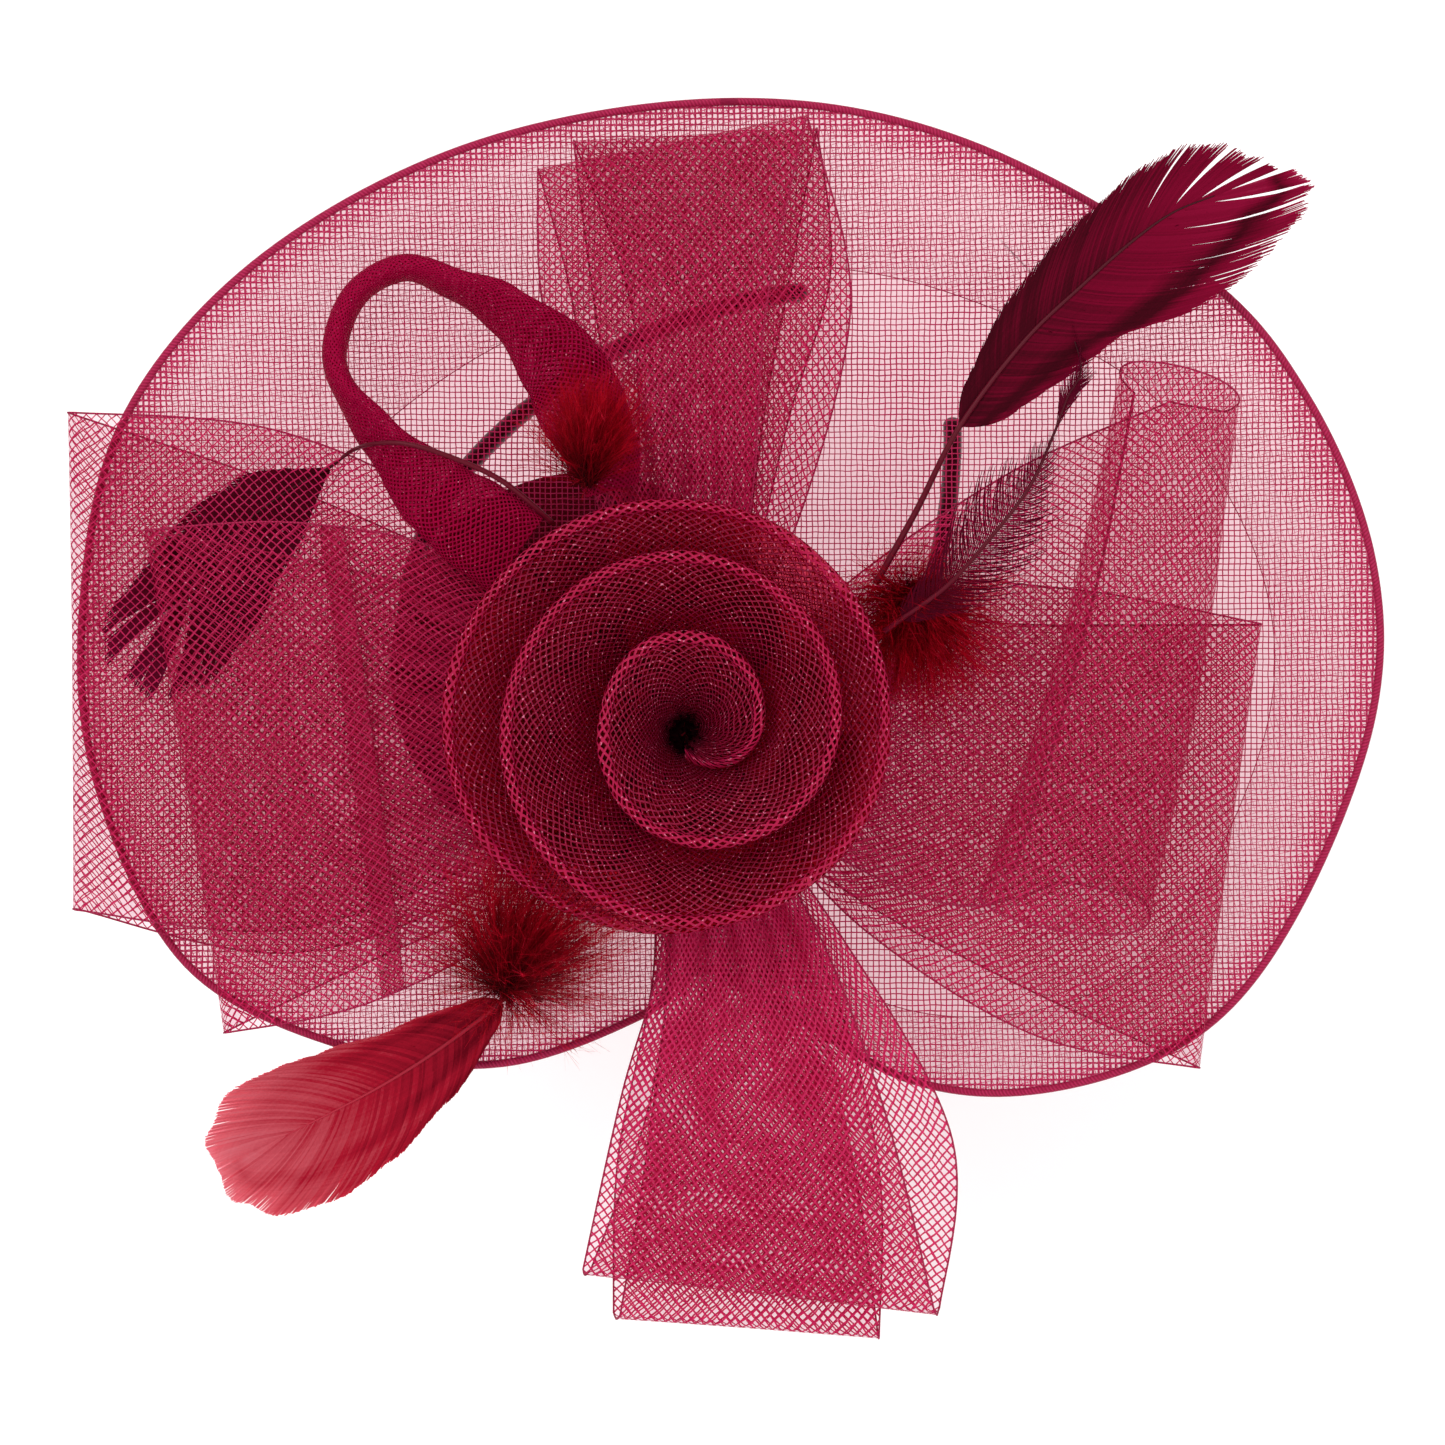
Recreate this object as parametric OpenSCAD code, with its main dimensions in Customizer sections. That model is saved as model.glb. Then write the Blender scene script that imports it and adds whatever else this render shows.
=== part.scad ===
// Crinoline fascinator: a net brim that carries ribbon loops, a wound rose and feathers, on a folding headband.
// Origin: where the head meets the felt pad's underside, behind the rose. +Z points out of the brim's open face.

/* [Base] */
// Radius of the felt pad that rests on the head
pad_r = 50; // [50:0.5:52]
// Thickness of the felt pad
pad_t = 2; // [1.5:0.1:2.5]
// Radius of the stiffened disc that everything is sewn to
base_r = 44; // [40:1:47]
// Thickness of the stiffened disc
base_t = 1.6; // [1.2:0.1:1.8]

/* [Brim] */
// Radius of the sphere that the dished brim is shaped on
dish_r = 600; // [560:10:700]
// Thickness of each layer of net
net_t = 0.8; // [0.6:0.1:0.8]
// Diameter of the cord rolled into the hem
hem_d = 2; // [1.4:0.1:2]
// Mean width of the folded second layer
fold_w = 37; // [34:1:40]

/* [Rose] */
// Radius of the gathered knot under the rose
knot_r = 16; // [12:1:16]
// Height of the rose's underside
rose_z = 26; // [26:0.5:28]
// Height of the rose
rose_h = 33; // [28:1:33]
// Outer radius of the rose's spiral
spiral_r = 40; // [36:1:40]
// Outer radius of the loose outer ring
ring_r = 55; // [52:1:55.5]

/* [Headband] */
// Mean radius of the headband's arch
arch_r = 60.5; // [60:0.5:61]
// Thickness of the covered band, measured towards the head
band_t = 5; // [4:0.5:5]
// Width of the covered band
band_w = 9; // [7:0.5:9]
// Thickness of the satin cover
satin_t = 1; // [0.8:0.1:1]

/* [Clip] */
// Length of the clip's base
clip_l = 36; // [34:1:36]
// Width of the clip
clip_w = 8; // [7.8:0.1:8.2]

/* [Hidden] */
$fn = 48;

// Centre of the pad and the disc, and where the rose and the knot stand on them
pad_at = [-14, 18];
knot = [10.8, 2];
// Height of the brim's lower face at the knot, a hair above the disc
brim_z = pad_t + base_t + 0.05;
ball_z = brim_z + dish_r;
sky = 100;

// Brim's outline, clockwise from the top; the dip at [14, -57] is the notch under the tail
brim_points = [
    [24, 158], [80, 148], [137, 116], [164, 85], [180, 45], [180, 5], [162, -42], [138, -72],
    [102, -86], [67, -84], [30, -63], [14, -57], [0, -68], [-35, -80], [-73, -76], [-113, -55],
    [-135, -10], [-138, 35], [-127, 81], [-93, 120], [-40, 148]
];

// Ribbon loops: two corners of the far fold, two shoulders where the gathering starts
loop_left_rear = [[-141, 81.5], [-140.5, -41], [-65, 70], [-60, -40]];
loop_left_front = [[-121.8, 52.8], [-102.5, -72], [-50, 38], [-45, -50]];
loop_right = [[153.8, 28.3], [138.3, -81], [90, 38], [85, -58]];
curl_right = [[130, 84], [106.5, -31], [70, 42], [62, -32]];
loop_top_rear = [[-16.8, 149], [44, 152], [-18, 85], [45, 70]];
loop_top_front = [[-25.5, 141.5], [41.5, 155], [-20, 90], [48, 80]];
tail_rear = [[-8, -142], [58, -148.5], [-1, -62], [54, -62]];
tail_front = [[-14.8, -131], [74.5, -141], [-3, -62], [57, -62]];
// Heights of each loop's two faces above the brim
low_layer = [2, 8];
high_layer = [9, 15];
left_low_layer = [4, 11];
left_high_layer = [12, 18];
curl_layer = [9, 9 + net_t];

// The roll at the end of the curled ribbon: its axis from end to end
roll_r = 14;
roll_from = [131, 86, 45.7];
roll_to = [107.6, -32, 36.4];

// The flattened tube's path, from one side of the rose round to the other
tube_points = [
    [-31, 46, 32], [-41, 53.5, 32], [-51, 61, 31.5], [-65, 75.5, 31], [-75, 90, 29], [-75.5, 101, 28],
    [-70, 112, 27.5], [-58.7, 117.5, 28], [-47, 113.5, 29], [-33.7, 106.6, 31], [-20.7, 93.6, 33],
    [-15, 83, 33.5], [-10, 72, 33], [-7, 62, 32.5]
];
// Half its width and half its thickness at each point, and how far it has turned from lying flat
tube_wide = [11, 11.5, 10, 7, 6.5, 6.5, 6.5, 6.5, 7, 8.5, 11, 11, 9, 6];
tube_thick = [1.2, 1.2, 1.6, 2.4, 3, 3.2, 3.2, 3.2, 3, 2.2, 1.4, 1.2, 1.2, 1.2];
tube_turn = [-10, -12, -20, -50, -84, -90, -92, -96, -108, -132, -156, -168, -172, -172];

puff_top = [-13, 67, 44];
puff_right = [67.5, 33, 29];
puff_lower = [-32, -57, 36];
puff_r = 8;

vane_t = 0.6;
right_vane_z = 42;
right_vane_points = [
    [85.8, 80], [85.8, 97.8], [94.5, 112.8], [104.5, 124], [117, 135], [134.5, 144], [143, 148],
    [152, 145], [158, 144], [158, 138], [155, 125], [148, 113], [137, 104], [119.5, 98], [99.5, 89]
];
right_quill_path = [[58, 39, 31], [68, 57, 36], [77, 76, 40.8], [95, 98, 41.3], [118, 116, 41.3], [143, 136, 41.3]];
left_vane_layer = [8.6, 8.6 + vane_t];
left_vane_points = [
    [-80, 66], [-98, 65], [-110.5, 59], [-123, 45], [-132, 29], [-129, 21.5], [-115.5, 19],
    [-103, 25], [-90.5, 45], [-83, 58]
];
left_quill_path = [
    [-22, 54, 32], [-34, 64, 38], [-47, 70, 40.5], [-58, 73.2, 40], [-66, 74, 35.5], [-71.5, 73.2, 26.5],
    [-74.5, 71.6, 23.4], [-78, 67.5, 23.2]
];
lower_vane_z = 20;
lower_vane_points = [
    [-35.5, -67], [-58, -73], [-80.5, -77], [-94, -83.5], [-107.5, -100], [-102, -113.5],
    [-85.5, -117], [-55.5, -92], [-40.5, -80]
];
lower_quill_path = [[-22, -46, 17], [-33, -62, 18.6], [-50, -78, 19.2], [-72, -92, 19.2], [-93, -103, 19.2]];
curl_blade_points = [[78, 43], [90, 55], [99, 67], [105, 79], [107, 88]];
curl_blade_span = [42, 56];
curl_quill_path = [[60, 27, 38], [68, 34, 40.5], [77, 42, 46]];

// The folded headband: centre of its arch, the way its legs point, and its mid height
band_c = [0, 29];
band_turn = atan2(0.756, 0.655);
band_z = -8;
leg_r = 135;
leg_sweep = 42;
tip_l = 2;
keeper_l = 12;
keeper_r = 5.8;
keeper_t = 0.8;

// The clip: where its middle is, the way it points, and its metal
clip_at = [-27.5, -3];
clip_turn = -41;
clip_t = 0.8;
pivot = [-5, -3.4];
pin_r = 0.8;
ear_r = 2;
ear_gap = 0.2;
lever_profile = [[18, -1.7], [12, -6], [-8, -6], [-18, -10.5]];

function unit(v) = v / norm(v);
function mix(a, b, t) = a + (b - a) * t;
// One point of the smooth curve that passes through b and c
function curve(a, b, c, d, t) =
    0.5 * ((2 * b) + (c - a) * t + (2 * a - 5 * b + 4 * c - d) * t * t + (3 * b - a - 3 * c + d) * t * t * t);
function smooth_ring(p, steps) = [
    for (i = [0 : len(p) - 1]) for (s = [0 : steps - 1])
        curve(p[(i + len(p) - 1) % len(p)], p[i], p[(i + 1) % len(p)], p[(i + 2) % len(p)], s / steps)
];
function at(p, i) = p[max(0, min(len(p) - 1, i))];
function smooth_line(p, steps) = concat(
    [for (i = [0 : len(p) - 2]) for (s = [0 : steps - 1]) curve(at(p, i - 1), p[i], p[i + 1], at(p, i + 2), s / steps)],
    [p[len(p) - 1]]
);
// Height of the brim's upper face under a point
function brim_top(p) = ball_z - sqrt(pow(dish_r - net_t, 2) - pow(norm([p.x, p.y] - knot), 2));
function left_of(v) = unit([-v.y, v.x]);

outline = smooth_ring(brim_points, 4);
// Distance from the edge to the fold's inner line: wide on the left, narrow on the right
function fold_reach(p) = let (a = atan2(p.y - knot.y, p.x - knot.x)) fold_w - 13 * cos(a) + 5 * sin(a);
fold_line = [for (p = outline) p - unit(p - knot) * fold_reach(p)];
hem_line = [
    for (i = [0 : len(outline) - 1])
        let (
            p = outline[i],
            go = outline[(i + 1) % len(outline)] - outline[(i + len(outline) - 1) % len(outline)],
            q = p + left_of(go) * (hem_d / 2 + 0.2)
        )
        [q.x, q.y, brim_top(p) - net_t / 2]
];

// Faces of a tube made of n rings of points, capped at both ends unless the last ring meets the first
function skin(n, sides, ring) = concat(
    [
        for (i = [0 : n - (ring ? 1 : 2)]) for (s = [0 : sides - 1])
            let (a = i * sides, b = (i + 1) % n * sides, t = (s + 1) % sides) [a + s, a + t, b + t, b + s]
    ],
    ring ? [] : [[for (s = [sides - 1 : -1 : 0]) s], [for (s = [0 : sides - 1]) (n - 1) * sides + s]]
);

// A round tube swept along a path; radii holds one radius for each point, and ring says if the ends meet
module sweep(path, radii, ring, sides = 8) {
    n = len(path);
    function step_at(i) = ring ? path[(i + 1) % n] - path[(i + n - 1) % n] : at(path, i + 1) - at(path, i - 1);
    points = [
        for (i = [0 : n - 1])
            let (t = unit(step_at(i)), u = unit(cross(t, [0, 0, 1])), w = cross(u, t))
            for (s = [0 : sides - 1]) path[i] + radii[i] * (u * cos(360 * s / sides) + w * sin(360 * s / sides))
    ];
    polyhedron(points, skin(n, sides, ring), convexity = 6);
}

// The space between two heights above the brim's upper face
module layer(low, high) {
    difference() {
        translate([knot.x, knot.y, ball_z]) sphere(dish_r - net_t - low, $fn = 200);
        translate([knot.x, knot.y, ball_z]) sphere(dish_r - net_t - high, $fn = 200);
    }
}

module prism(points) {
    translate([0, 0, -5]) linear_extrude(sky) polygon(points);
}

// Outline of a gathered ribbon loop, from the knot out to its far fold less a margin
function loop_outline(r, margin, spread) = let (
    out = unit((r[0] + r[1]) / 2 - knot),
    side = unit(r[0] - r[1]),
    root = knot + out * (knot_r + 0.5 + margin)
) [
    root + side * (12 + spread), r[2] + side * spread, r[0] + side * spread - out * margin,
    r[1] - side * spread - out * margin, r[3] - side * spread, root - side * (12 + spread)
];

// Two plies of net joined at the far fold and at the knot, open along both hems
module ribbon_loop(r, faces) {
    difference() {
        intersection() {
            prism(loop_outline(r, 0, 0));
            layer(faces[0], faces[1]);
        }
        intersection() {
            prism(loop_outline(r, 1.2, 20));
            layer(faces[0] + net_t, faces[1] - net_t);
        }
    }
}

module felt_pad() {
    color([0.35, 0.02, 0.1]) translate(pad_at) cylinder(pad_t, r = pad_r, $fn = 96);
}

module base_disc() {
    color([0.45, 0.02, 0.13]) translate([pad_at.x, pad_at.y, pad_t]) cylinder(base_t, r = base_r, $fn = 96);
}

// A ring of stitches under the pad's edge, left out beside the headband's keeper
module hand_stitches() {
    color([0.55, 0.05, 0.2])
    translate(pad_at)
    for (a = [0 : 20 : 340])
        if (a != 240)
            rotate([0, 0, a]) translate([pad_r - 2, 0, -0.45]) rotate([90, 0, 0]) cylinder(5, r = 0.4, center = true);
}

module brim_mesh() {
    color([0.75, 0.3, 0.42, 0.8])
    intersection() {
        prism(outline);
        layer(-net_t, 0);
    }
}

module brim_fold_band() {
    color([0.72, 0.22, 0.36, 0.9])
    intersection() {
        difference() {
            prism(outline);
            prism(fold_line);
        }
        layer(0.05, net_t);
    }
}

module brim_edge_cord() {
    color([0.4, 0.02, 0.12]) sweep(hem_line, [for (p = hem_line) hem_d / 2], true);
}

module gather_knot() {
    color([0.4, 0, 0.12])
    translate([knot.x, knot.y, brim_z + net_t + 0.4]) cylinder(rose_z - brim_z - net_t - 0.4, r = knot_r);
}

module ribbon_loop_left_rear() {
    color([0.8, 0.15, 0.35]) ribbon_loop(loop_left_rear, left_low_layer);
}

module ribbon_loop_left_front() {
    color([0.7, 0.1, 0.3]) ribbon_loop(loop_left_front, left_high_layer);
}

module ribbon_loop_right() {
    color([0.8, 0.15, 0.35]) ribbon_loop(loop_right, low_layer);
}

// One ply that ends in a loose roll
module ribbon_curl_right() {
    lean = roll_to - roll_from;
    color([0.75, 0.2, 0.38])
    union() {
        intersection() {
            prism(loop_outline(curl_right, 0, 0));
            layer(curl_layer[0], curl_layer[1]);
        }
        translate(roll_from)
        rotate([0, acos(lean.z / norm(lean)), atan2(lean.y, lean.x)])
        difference() {
            cylinder(norm(lean), r = roll_r);
            translate([0, 0, -1]) cylinder(norm(lean) + 2, r = roll_r - net_t);
        }
    }
}

module ribbon_loop_top_rear() {
    color([0.7, 0.15, 0.32]) ribbon_loop(loop_top_rear, low_layer);
}

module ribbon_loop_top_front() {
    color([0.72, 0.2, 0.35]) ribbon_loop(loop_top_front, high_layer);
}

module ribbon_tail_rear() {
    color([0.72, 0.25, 0.38]) ribbon_loop(tail_rear, low_layer);
}

module ribbon_tail_front() {
    color([0.72, 0.22, 0.36]) ribbon_loop(tail_front, high_layer);
}

// Outline of a strip of even thickness along a path
function strip(path, t) = concat(
    [for (i = [0 : len(path) - 1]) path[i] + left_of(at(path, i + 1) - at(path, i - 1)) * t / 2],
    [for (i = [len(path) - 1 : -1 : 0]) path[i] - left_of(at(path, i + 1) - at(path, i - 1)) * t / 2]
);

// A soft tube that lies flat at both ends and stands on edge round the bend
module crin_tube_loop() {
    steps = 3;
    sides = 12;
    path = smooth_line(tube_points, steps);
    function between(values, i) = let (k = floor(i / steps)) mix(values[k], at(values, k + 1), i / steps - k);
    points = [
        for (i = [0 : len(path) - 1])
            let (
                go = unit(at(path, i + 1) - at(path, i - 1)),
                flat = unit(cross([0, 0, 1], go)),
                turn = between(tube_turn, i),
                wide = flat * cos(turn) + cross(go, flat) * sin(turn),
                face = cross(go, wide)
            )
            for (a = [0 : 360 / sides : 359])
                path[i] + wide * (between(tube_wide, i) * cos(a)) + face * (between(tube_thick, i) * sin(a))
    ];
    color([0.6, 0.02, 0.2]) polyhedron(points, skin(len(path), sides, false), convexity = 8);
}

// Height of the rose's rolled rims, which dip like a funnel to the heart
function rim_z(r) = rose_h - 16 * pow(1 - min(1, r / spiral_r), 1.5);

module rose_heart() {
    color([0.2, 0, 0.04]) translate([knot.x, knot.y, rose_z]) cylinder(rim_z(7) - 4, r1 = 6, r2 = 5);
}

module rose_spiral() {
    turns = 3.2;
    steps = 24 * turns;
    wall = 3;
    inner_r = 8.5;
    path = [
        for (i = [0 : steps])
            let (a = 200 - 360 * turns * i / steps, r = mix(inner_r, spiral_r - wall / 2, i / steps))
            [r * cos(a), r * sin(a)]
    ];
    funnel = [for (r = [0 : 5 : spiral_r]) [r, rim_z(r)]];
    color([0.5, 0, 0.14])
    translate([knot.x, knot.y, rose_z])
    intersection() {
        linear_extrude(rose_h) polygon(strip(path, wall));
        rotate_extrude() polygon(concat([[0, 0]], funnel, [[spiral_r, 0]]));
    }
}

module rose_outer_ring() {
    color([0.5, 0.02, 0.16])
    translate([knot.x, knot.y, rose_z])
    rotate_extrude($fn = 96)
    polygon([[spiral_r + 1, 0], [ring_r - 4, 0], [ring_r, rose_h - 12], [ring_r - 3, rose_h - 6], [spiral_r + 1, rose_h - 5]]);
}

module down_puff(at_point) {
    color([0.7, 0, 0.1]) translate(at_point) sphere(puff_r);
}

module flat_vane(points, z) {
    translate([0, 0, z]) linear_extrude(vane_t) polygon(smooth_ring(points, 3));
}

module quill(path, thick, thin) {
    line = smooth_line(path, 3);
    sweep(line, [for (i = [0 : len(line) - 1]) mix(thick, thin, i / (len(line) - 1))], false);
}

module feather_right_vane() {
    color([0.45, 0.02, 0.15]) flat_vane(right_vane_points, right_vane_z);
}

module feather_right_quill() {
    color([0.3, 0.02, 0.08]) quill(right_quill_path, 0.9, 0.4);
}

module feather_left_vane() {
    color([0.4, 0.02, 0.12])
    intersection() {
        prism(smooth_ring(left_vane_points, 3));
        layer(left_vane_layer[0], left_vane_layer[1]);
    }
}

module feather_left_quill() {
    color([0.25, 0.02, 0.08]) quill(left_quill_path, 0.9, 0.6);
}

module feather_lower_vane() {
    color([0.75, 0.25, 0.35]) flat_vane(lower_vane_points, lower_vane_z);
}

module feather_lower_quill() {
    color([0.4, 0.02, 0.1]) quill(lower_quill_path, 0.8, 0.4);
}

module feather_curl_blade() {
    color([0.35, 0.02, 0.1])
    translate([0, 0, curl_blade_span[0]])
    linear_extrude(curl_blade_span[1] - curl_blade_span[0]) polygon(strip(smooth_line(curl_blade_points, 3), vane_t));
}

module feather_curl_quill() {
    color([0.25, 0.02, 0.08]) quill(curl_quill_path, 0.7, 0.5);
}

// Cross-section of the band with fully rounded edges
module band_section(t, w) {
    square([t, w - t], center = true);
    translate([0, (w - t) / 2]) circle(d = t);
    translate([0, (t - w) / 2]) circle(d = t);
}

// Frame of the folded band: -X is the crown, the legs run to +X
module band_frame() {
    translate([band_c.x, band_c.y, band_z]) rotate([0, 0, band_turn]) children();
}

// One leg's frame: X runs out from the leg's own centre through its tip
module leg_end() {
    translate([0, arch_r - leg_r, 0]) rotate([0, 0, 90 - leg_sweep]) children();
}

module band_solid(t, w) {
    rotate([0, 0, 90]) rotate_extrude(angle = 180, $fn = 96) translate([arch_r, 0]) band_section(t, w);
    for (flip = [0, 1])
        mirror([0, flip, 0]) leg_end()
            rotate_extrude(angle = leg_sweep, $fn = 180) translate([leg_r, 0]) band_section(t, w);
}

module headband_core() {
    color([0.85, 0.85, 0.82]) band_frame() band_solid(band_t - 2 * satin_t, band_w - 2 * satin_t);
}

module headband_cover() {
    color([0.35, 0, 0.12])
    band_frame()
    difference() {
        band_solid(band_t, band_w);
        band_solid(band_t - 2 * satin_t, band_w - 2 * satin_t);
    }
}

module headband_tips() {
    color([0.3, 0, 0.1])
    band_frame()
    for (flip = [0, 1])
        mirror([0, flip, 0]) leg_end()
            translate([leg_r, 0, 0]) rotate([90, 0, 0]) linear_extrude(tip_l) band_section(band_t, band_w);
}

// Loop sewn under the pad; the crown of the headband turns in it
module band_keeper() {
    color([0.3, 0, 0.1])
    band_frame()
    translate([-arch_r, 0, 0])
    difference() {
        union() {
            rotate([90, 0, 0]) cylinder(keeper_l, r = keeper_r + keeper_t, center = true);
            translate([-2, -keeper_l / 2, keeper_r]) cube([4, keeper_l, -band_z - keeper_r]);
        }
        rotate([90, 0, 0]) cylinder(keeper_l + 2, r = keeper_r, center = true);
    }
}

module clip_frame() {
    translate([clip_at.x, clip_at.y, 0]) rotate([0, 0, clip_turn]) children();
}

// A round-ended cheek with a pin hole, from the pivot to a plate at height z
module ear(y, bore_r, z) {
    translate([pivot.x, y + clip_t / 2, pivot.y])
    rotate([90, 0, 0])
    difference() {
        union() {
            cylinder(clip_t, r = ear_r);
            translate([-ear_r, min(0, z - pivot.y), 0]) cube([2 * ear_r, abs(z - pivot.y), clip_t]);
        }
        translate([0, 0, -1]) cylinder(clip_t + 2, r = bore_r);
    }
}

module clip_base() {
    nose = clip_w / 2;
    color([0.8, 0.8, 0.82])
    clip_frame()
    union() {
        translate([0, 0, -clip_t]) linear_extrude(clip_t) union() {
            translate([-clip_l / 2, -nose]) square([clip_l - nose, clip_w]);
            translate([clip_l / 2 - nose, 0]) circle(nose);
        }
        for (side = [-1, 1]) ear(side * (nose - clip_t / 2), pin_r, -clip_t / 2);
        for (x = [9, 12]) translate([x, -2.5, -clip_t - 0.6]) cube([1, 5, 0.7]);
    }
}

module clip_pin() {
    reach = clip_w / 2;
    color([0.7, 0.7, 0.72])
    clip_frame()
    translate([pivot.x, 0, pivot.y])
    rotate([90, 0, 0])
    union() {
        cylinder(2 * reach, r = pin_r, center = true);
        for (side = [-1, 1]) translate([0, 0, side * (reach + 0.2)]) cylinder(0.4, r = 1.3, center = true);
    }
}

module clip_spring() {
    half = clip_w / 2 - 2 * clip_t - ear_gap - 0.2;
    color([0.6, 0.6, 0.62])
    clip_frame()
    translate([pivot.x, 0, pivot.y])
    rotate([90, 0, 0])
    difference() {
        for (y = [-half : 0.75 : half - 0.7]) translate([0, 0, y]) cylinder(0.75, r = 1.6);
        translate([0, 0, -half - 1]) cylinder(2 * half + 2, r = pin_r + 0.1);
    }
}

module clip_lever() {
    ear_y = clip_w / 2 - clip_t - ear_gap - clip_t / 2;
    color([0.8, 0.8, 0.82])
    clip_frame()
    union() {
        rotate([90, 0, 0]) linear_extrude(clip_w, center = true) polygon(strip(lever_profile, clip_t));
        for (side = [-1, 1]) ear(side * ear_y, pin_r + 0.15, -6);
    }
}

felt_pad();
base_disc();
hand_stitches();
brim_mesh();
brim_fold_band();
brim_edge_cord();
gather_knot();
ribbon_loop_left_rear();
ribbon_loop_left_front();
ribbon_loop_right();
ribbon_curl_right();
ribbon_loop_top_rear();
ribbon_loop_top_front();
ribbon_tail_rear();
ribbon_tail_front();
crin_tube_loop();
rose_heart();
rose_spiral();
rose_outer_ring();
down_puff(puff_top);  // down_puff_top
down_puff(puff_right);  // down_puff_right
down_puff(puff_lower);  // down_puff_lower
feather_right_vane();
feather_right_quill();
feather_left_vane();
feather_left_quill();
feather_lower_vane();
feather_lower_quill();
feather_curl_blade();
feather_curl_quill();
band_keeper();
headband_core();
headband_cover();
headband_tips();
clip_base();
clip_pin();
clip_spring();
clip_lever();
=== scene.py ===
"""Looks of the crinoline fascinator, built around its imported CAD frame.

Lengths inside the builders are in millimetres, as in the CAD; MM turns them into metres when a mesh is made.
"""
import random
from math import atan2, copysign, cos, exp, hypot, pi, radians, sin, sqrt, tau

import bpy
import numpy as np
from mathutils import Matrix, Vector, noise


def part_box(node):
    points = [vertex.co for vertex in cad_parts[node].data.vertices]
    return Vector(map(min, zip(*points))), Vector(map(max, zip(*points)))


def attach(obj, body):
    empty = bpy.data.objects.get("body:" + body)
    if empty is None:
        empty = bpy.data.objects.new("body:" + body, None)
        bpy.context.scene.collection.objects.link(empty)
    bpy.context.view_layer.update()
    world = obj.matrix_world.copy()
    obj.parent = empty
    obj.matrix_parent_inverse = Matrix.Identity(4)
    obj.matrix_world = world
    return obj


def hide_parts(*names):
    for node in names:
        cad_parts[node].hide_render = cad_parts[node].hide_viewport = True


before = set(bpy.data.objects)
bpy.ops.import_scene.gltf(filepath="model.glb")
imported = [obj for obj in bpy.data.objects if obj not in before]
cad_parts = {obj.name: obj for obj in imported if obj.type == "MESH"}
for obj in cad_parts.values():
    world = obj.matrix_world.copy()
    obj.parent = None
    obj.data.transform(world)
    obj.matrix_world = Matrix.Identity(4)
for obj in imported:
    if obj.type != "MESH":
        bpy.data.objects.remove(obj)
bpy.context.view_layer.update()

MM = 0.001
UP = Vector((0, 0, 1))


# ---- sizes from the frame
def node_box(node):
    low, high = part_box(node)
    return low / MM, high / MM


def node_centre(node):
    low, high = node_box(node)
    return (low + high) / 2


KNOT_LOW, KNOT_HIGH = node_box("gather_knot")
KNOT = node_centre("gather_knot").xy
KNOT_R = (KNOT_HIGH.x - KNOT_LOW.x) / 2
ROSE_Z = node_box("rose_heart")[0].z
DISC_GAP = 0.05
BRIM_Z = node_box("base_disc")[1].z + DISC_GAP

# The brim is part of a ball: its radius and the height of its centre, and the thickness of the CAD net
DISH_R = 600.0
BALL_Z = BRIM_Z + DISH_R
NET_T = 0.8

# The turned-over layer's middle width and how far it varies; the hem cord's radius and inset; the raw inner edge
FOLD_WIDE, FOLD_LEFT, FOLD_UP = 37.0, 13.0, 5.0
CORD_R, CORD_INSET = 1.0, 0.9
RAW_EDGE_R = 0.13

# The brim's outline, clockwise from the top; the dip at (14, -57) is the notch under the tail
BRIM_POINTS = [
    (24, 158), (80, 148), (137, 116), (164, 85), (180, 45), (180, 5), (162, -42), (138, -72),
    (102, -86), (67, -84), (30, -63), (14, -57), (0, -68), (-35, -80), (-73, -76), (-113, -55),
    (-135, -10), (-138, 35), (-127, 81), (-93, 120), (-40, 148),
]


# ---- small geometry helpers
def mix(a, b, t):
    return a + (b - a) * t


def clamp(x, low=0.0, high=1.0):
    return max(low, min(high, x))


def smoothstep(low, high, x):
    t = clamp((x - low) / (high - low))
    return t * t * (3 - 2 * t)


def catmull(a, b, c, d, t):
    return 0.5 * (2 * b + (c - a) * t + (2 * a - 5 * b + 4 * c - d) * t * t + (3 * b - a - 3 * c + d) * t ** 3)


def smooth_ring(points, steps):
    p = [Vector(q) for q in points]
    n = len(p)
    return [
        catmull(p[i - 1], p[i], p[(i + 1) % n], p[(i + 2) % n], s / steps)
        for i in range(n) for s in range(steps)
    ]


def smooth_line(points, steps):
    p = [Vector(q) for q in points]
    last = len(p) - 1
    line = [
        catmull(p[max(0, i - 1)], p[i], p[i + 1], p[min(last, i + 2)], s / steps)
        for i in range(last) for s in range(steps)
    ]
    return line + [p[last]]


def along(line, t):
    """The point at share t of a line's steps."""
    x = clamp(t) * (len(line) - 1)
    i = min(int(x), len(line) - 2)
    return line[i].lerp(line[i + 1], x - i)


def tangent(line, t):
    return (along(line, t + 0.01) - along(line, t - 0.01)).normalized()


def dish_z(p, offset=0.0):
    """Height at a plan point of the layer that lies offset above the brim's upper face."""
    reach = (Vector((p[0], p[1])) - KNOT).length
    return BALL_Z - sqrt((DISH_R - NET_T - offset) ** 2 - reach ** 2)


def on_dish(p, offset=0.0):
    return Vector((p[0], p[1], dish_z(p, offset)))


def grain(x, y=0.0, z=0.0):
    """Smooth noise from -1 to 1."""
    return noise.noise(Vector((x, y, z)))


def bell(x, middle, width):
    return exp(-((x - middle) / width) ** 2)


def squared(x, power):
    """A sine or cosine that a power below 1 pushes outwards, so that a round section turns squarer."""
    return copysign(abs(x) ** power, x)


def polar(radius, angle, z=0.0):
    return Vector((radius * cos(angle), radius * sin(angle), z))


def scatter(spread):
    return Vector([random.gauss(0, spread) for _ in range(3)])


def around(count):
    """Angles evenly spaced round a circle."""
    return [tau * i / count for i in range(count)]


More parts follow.
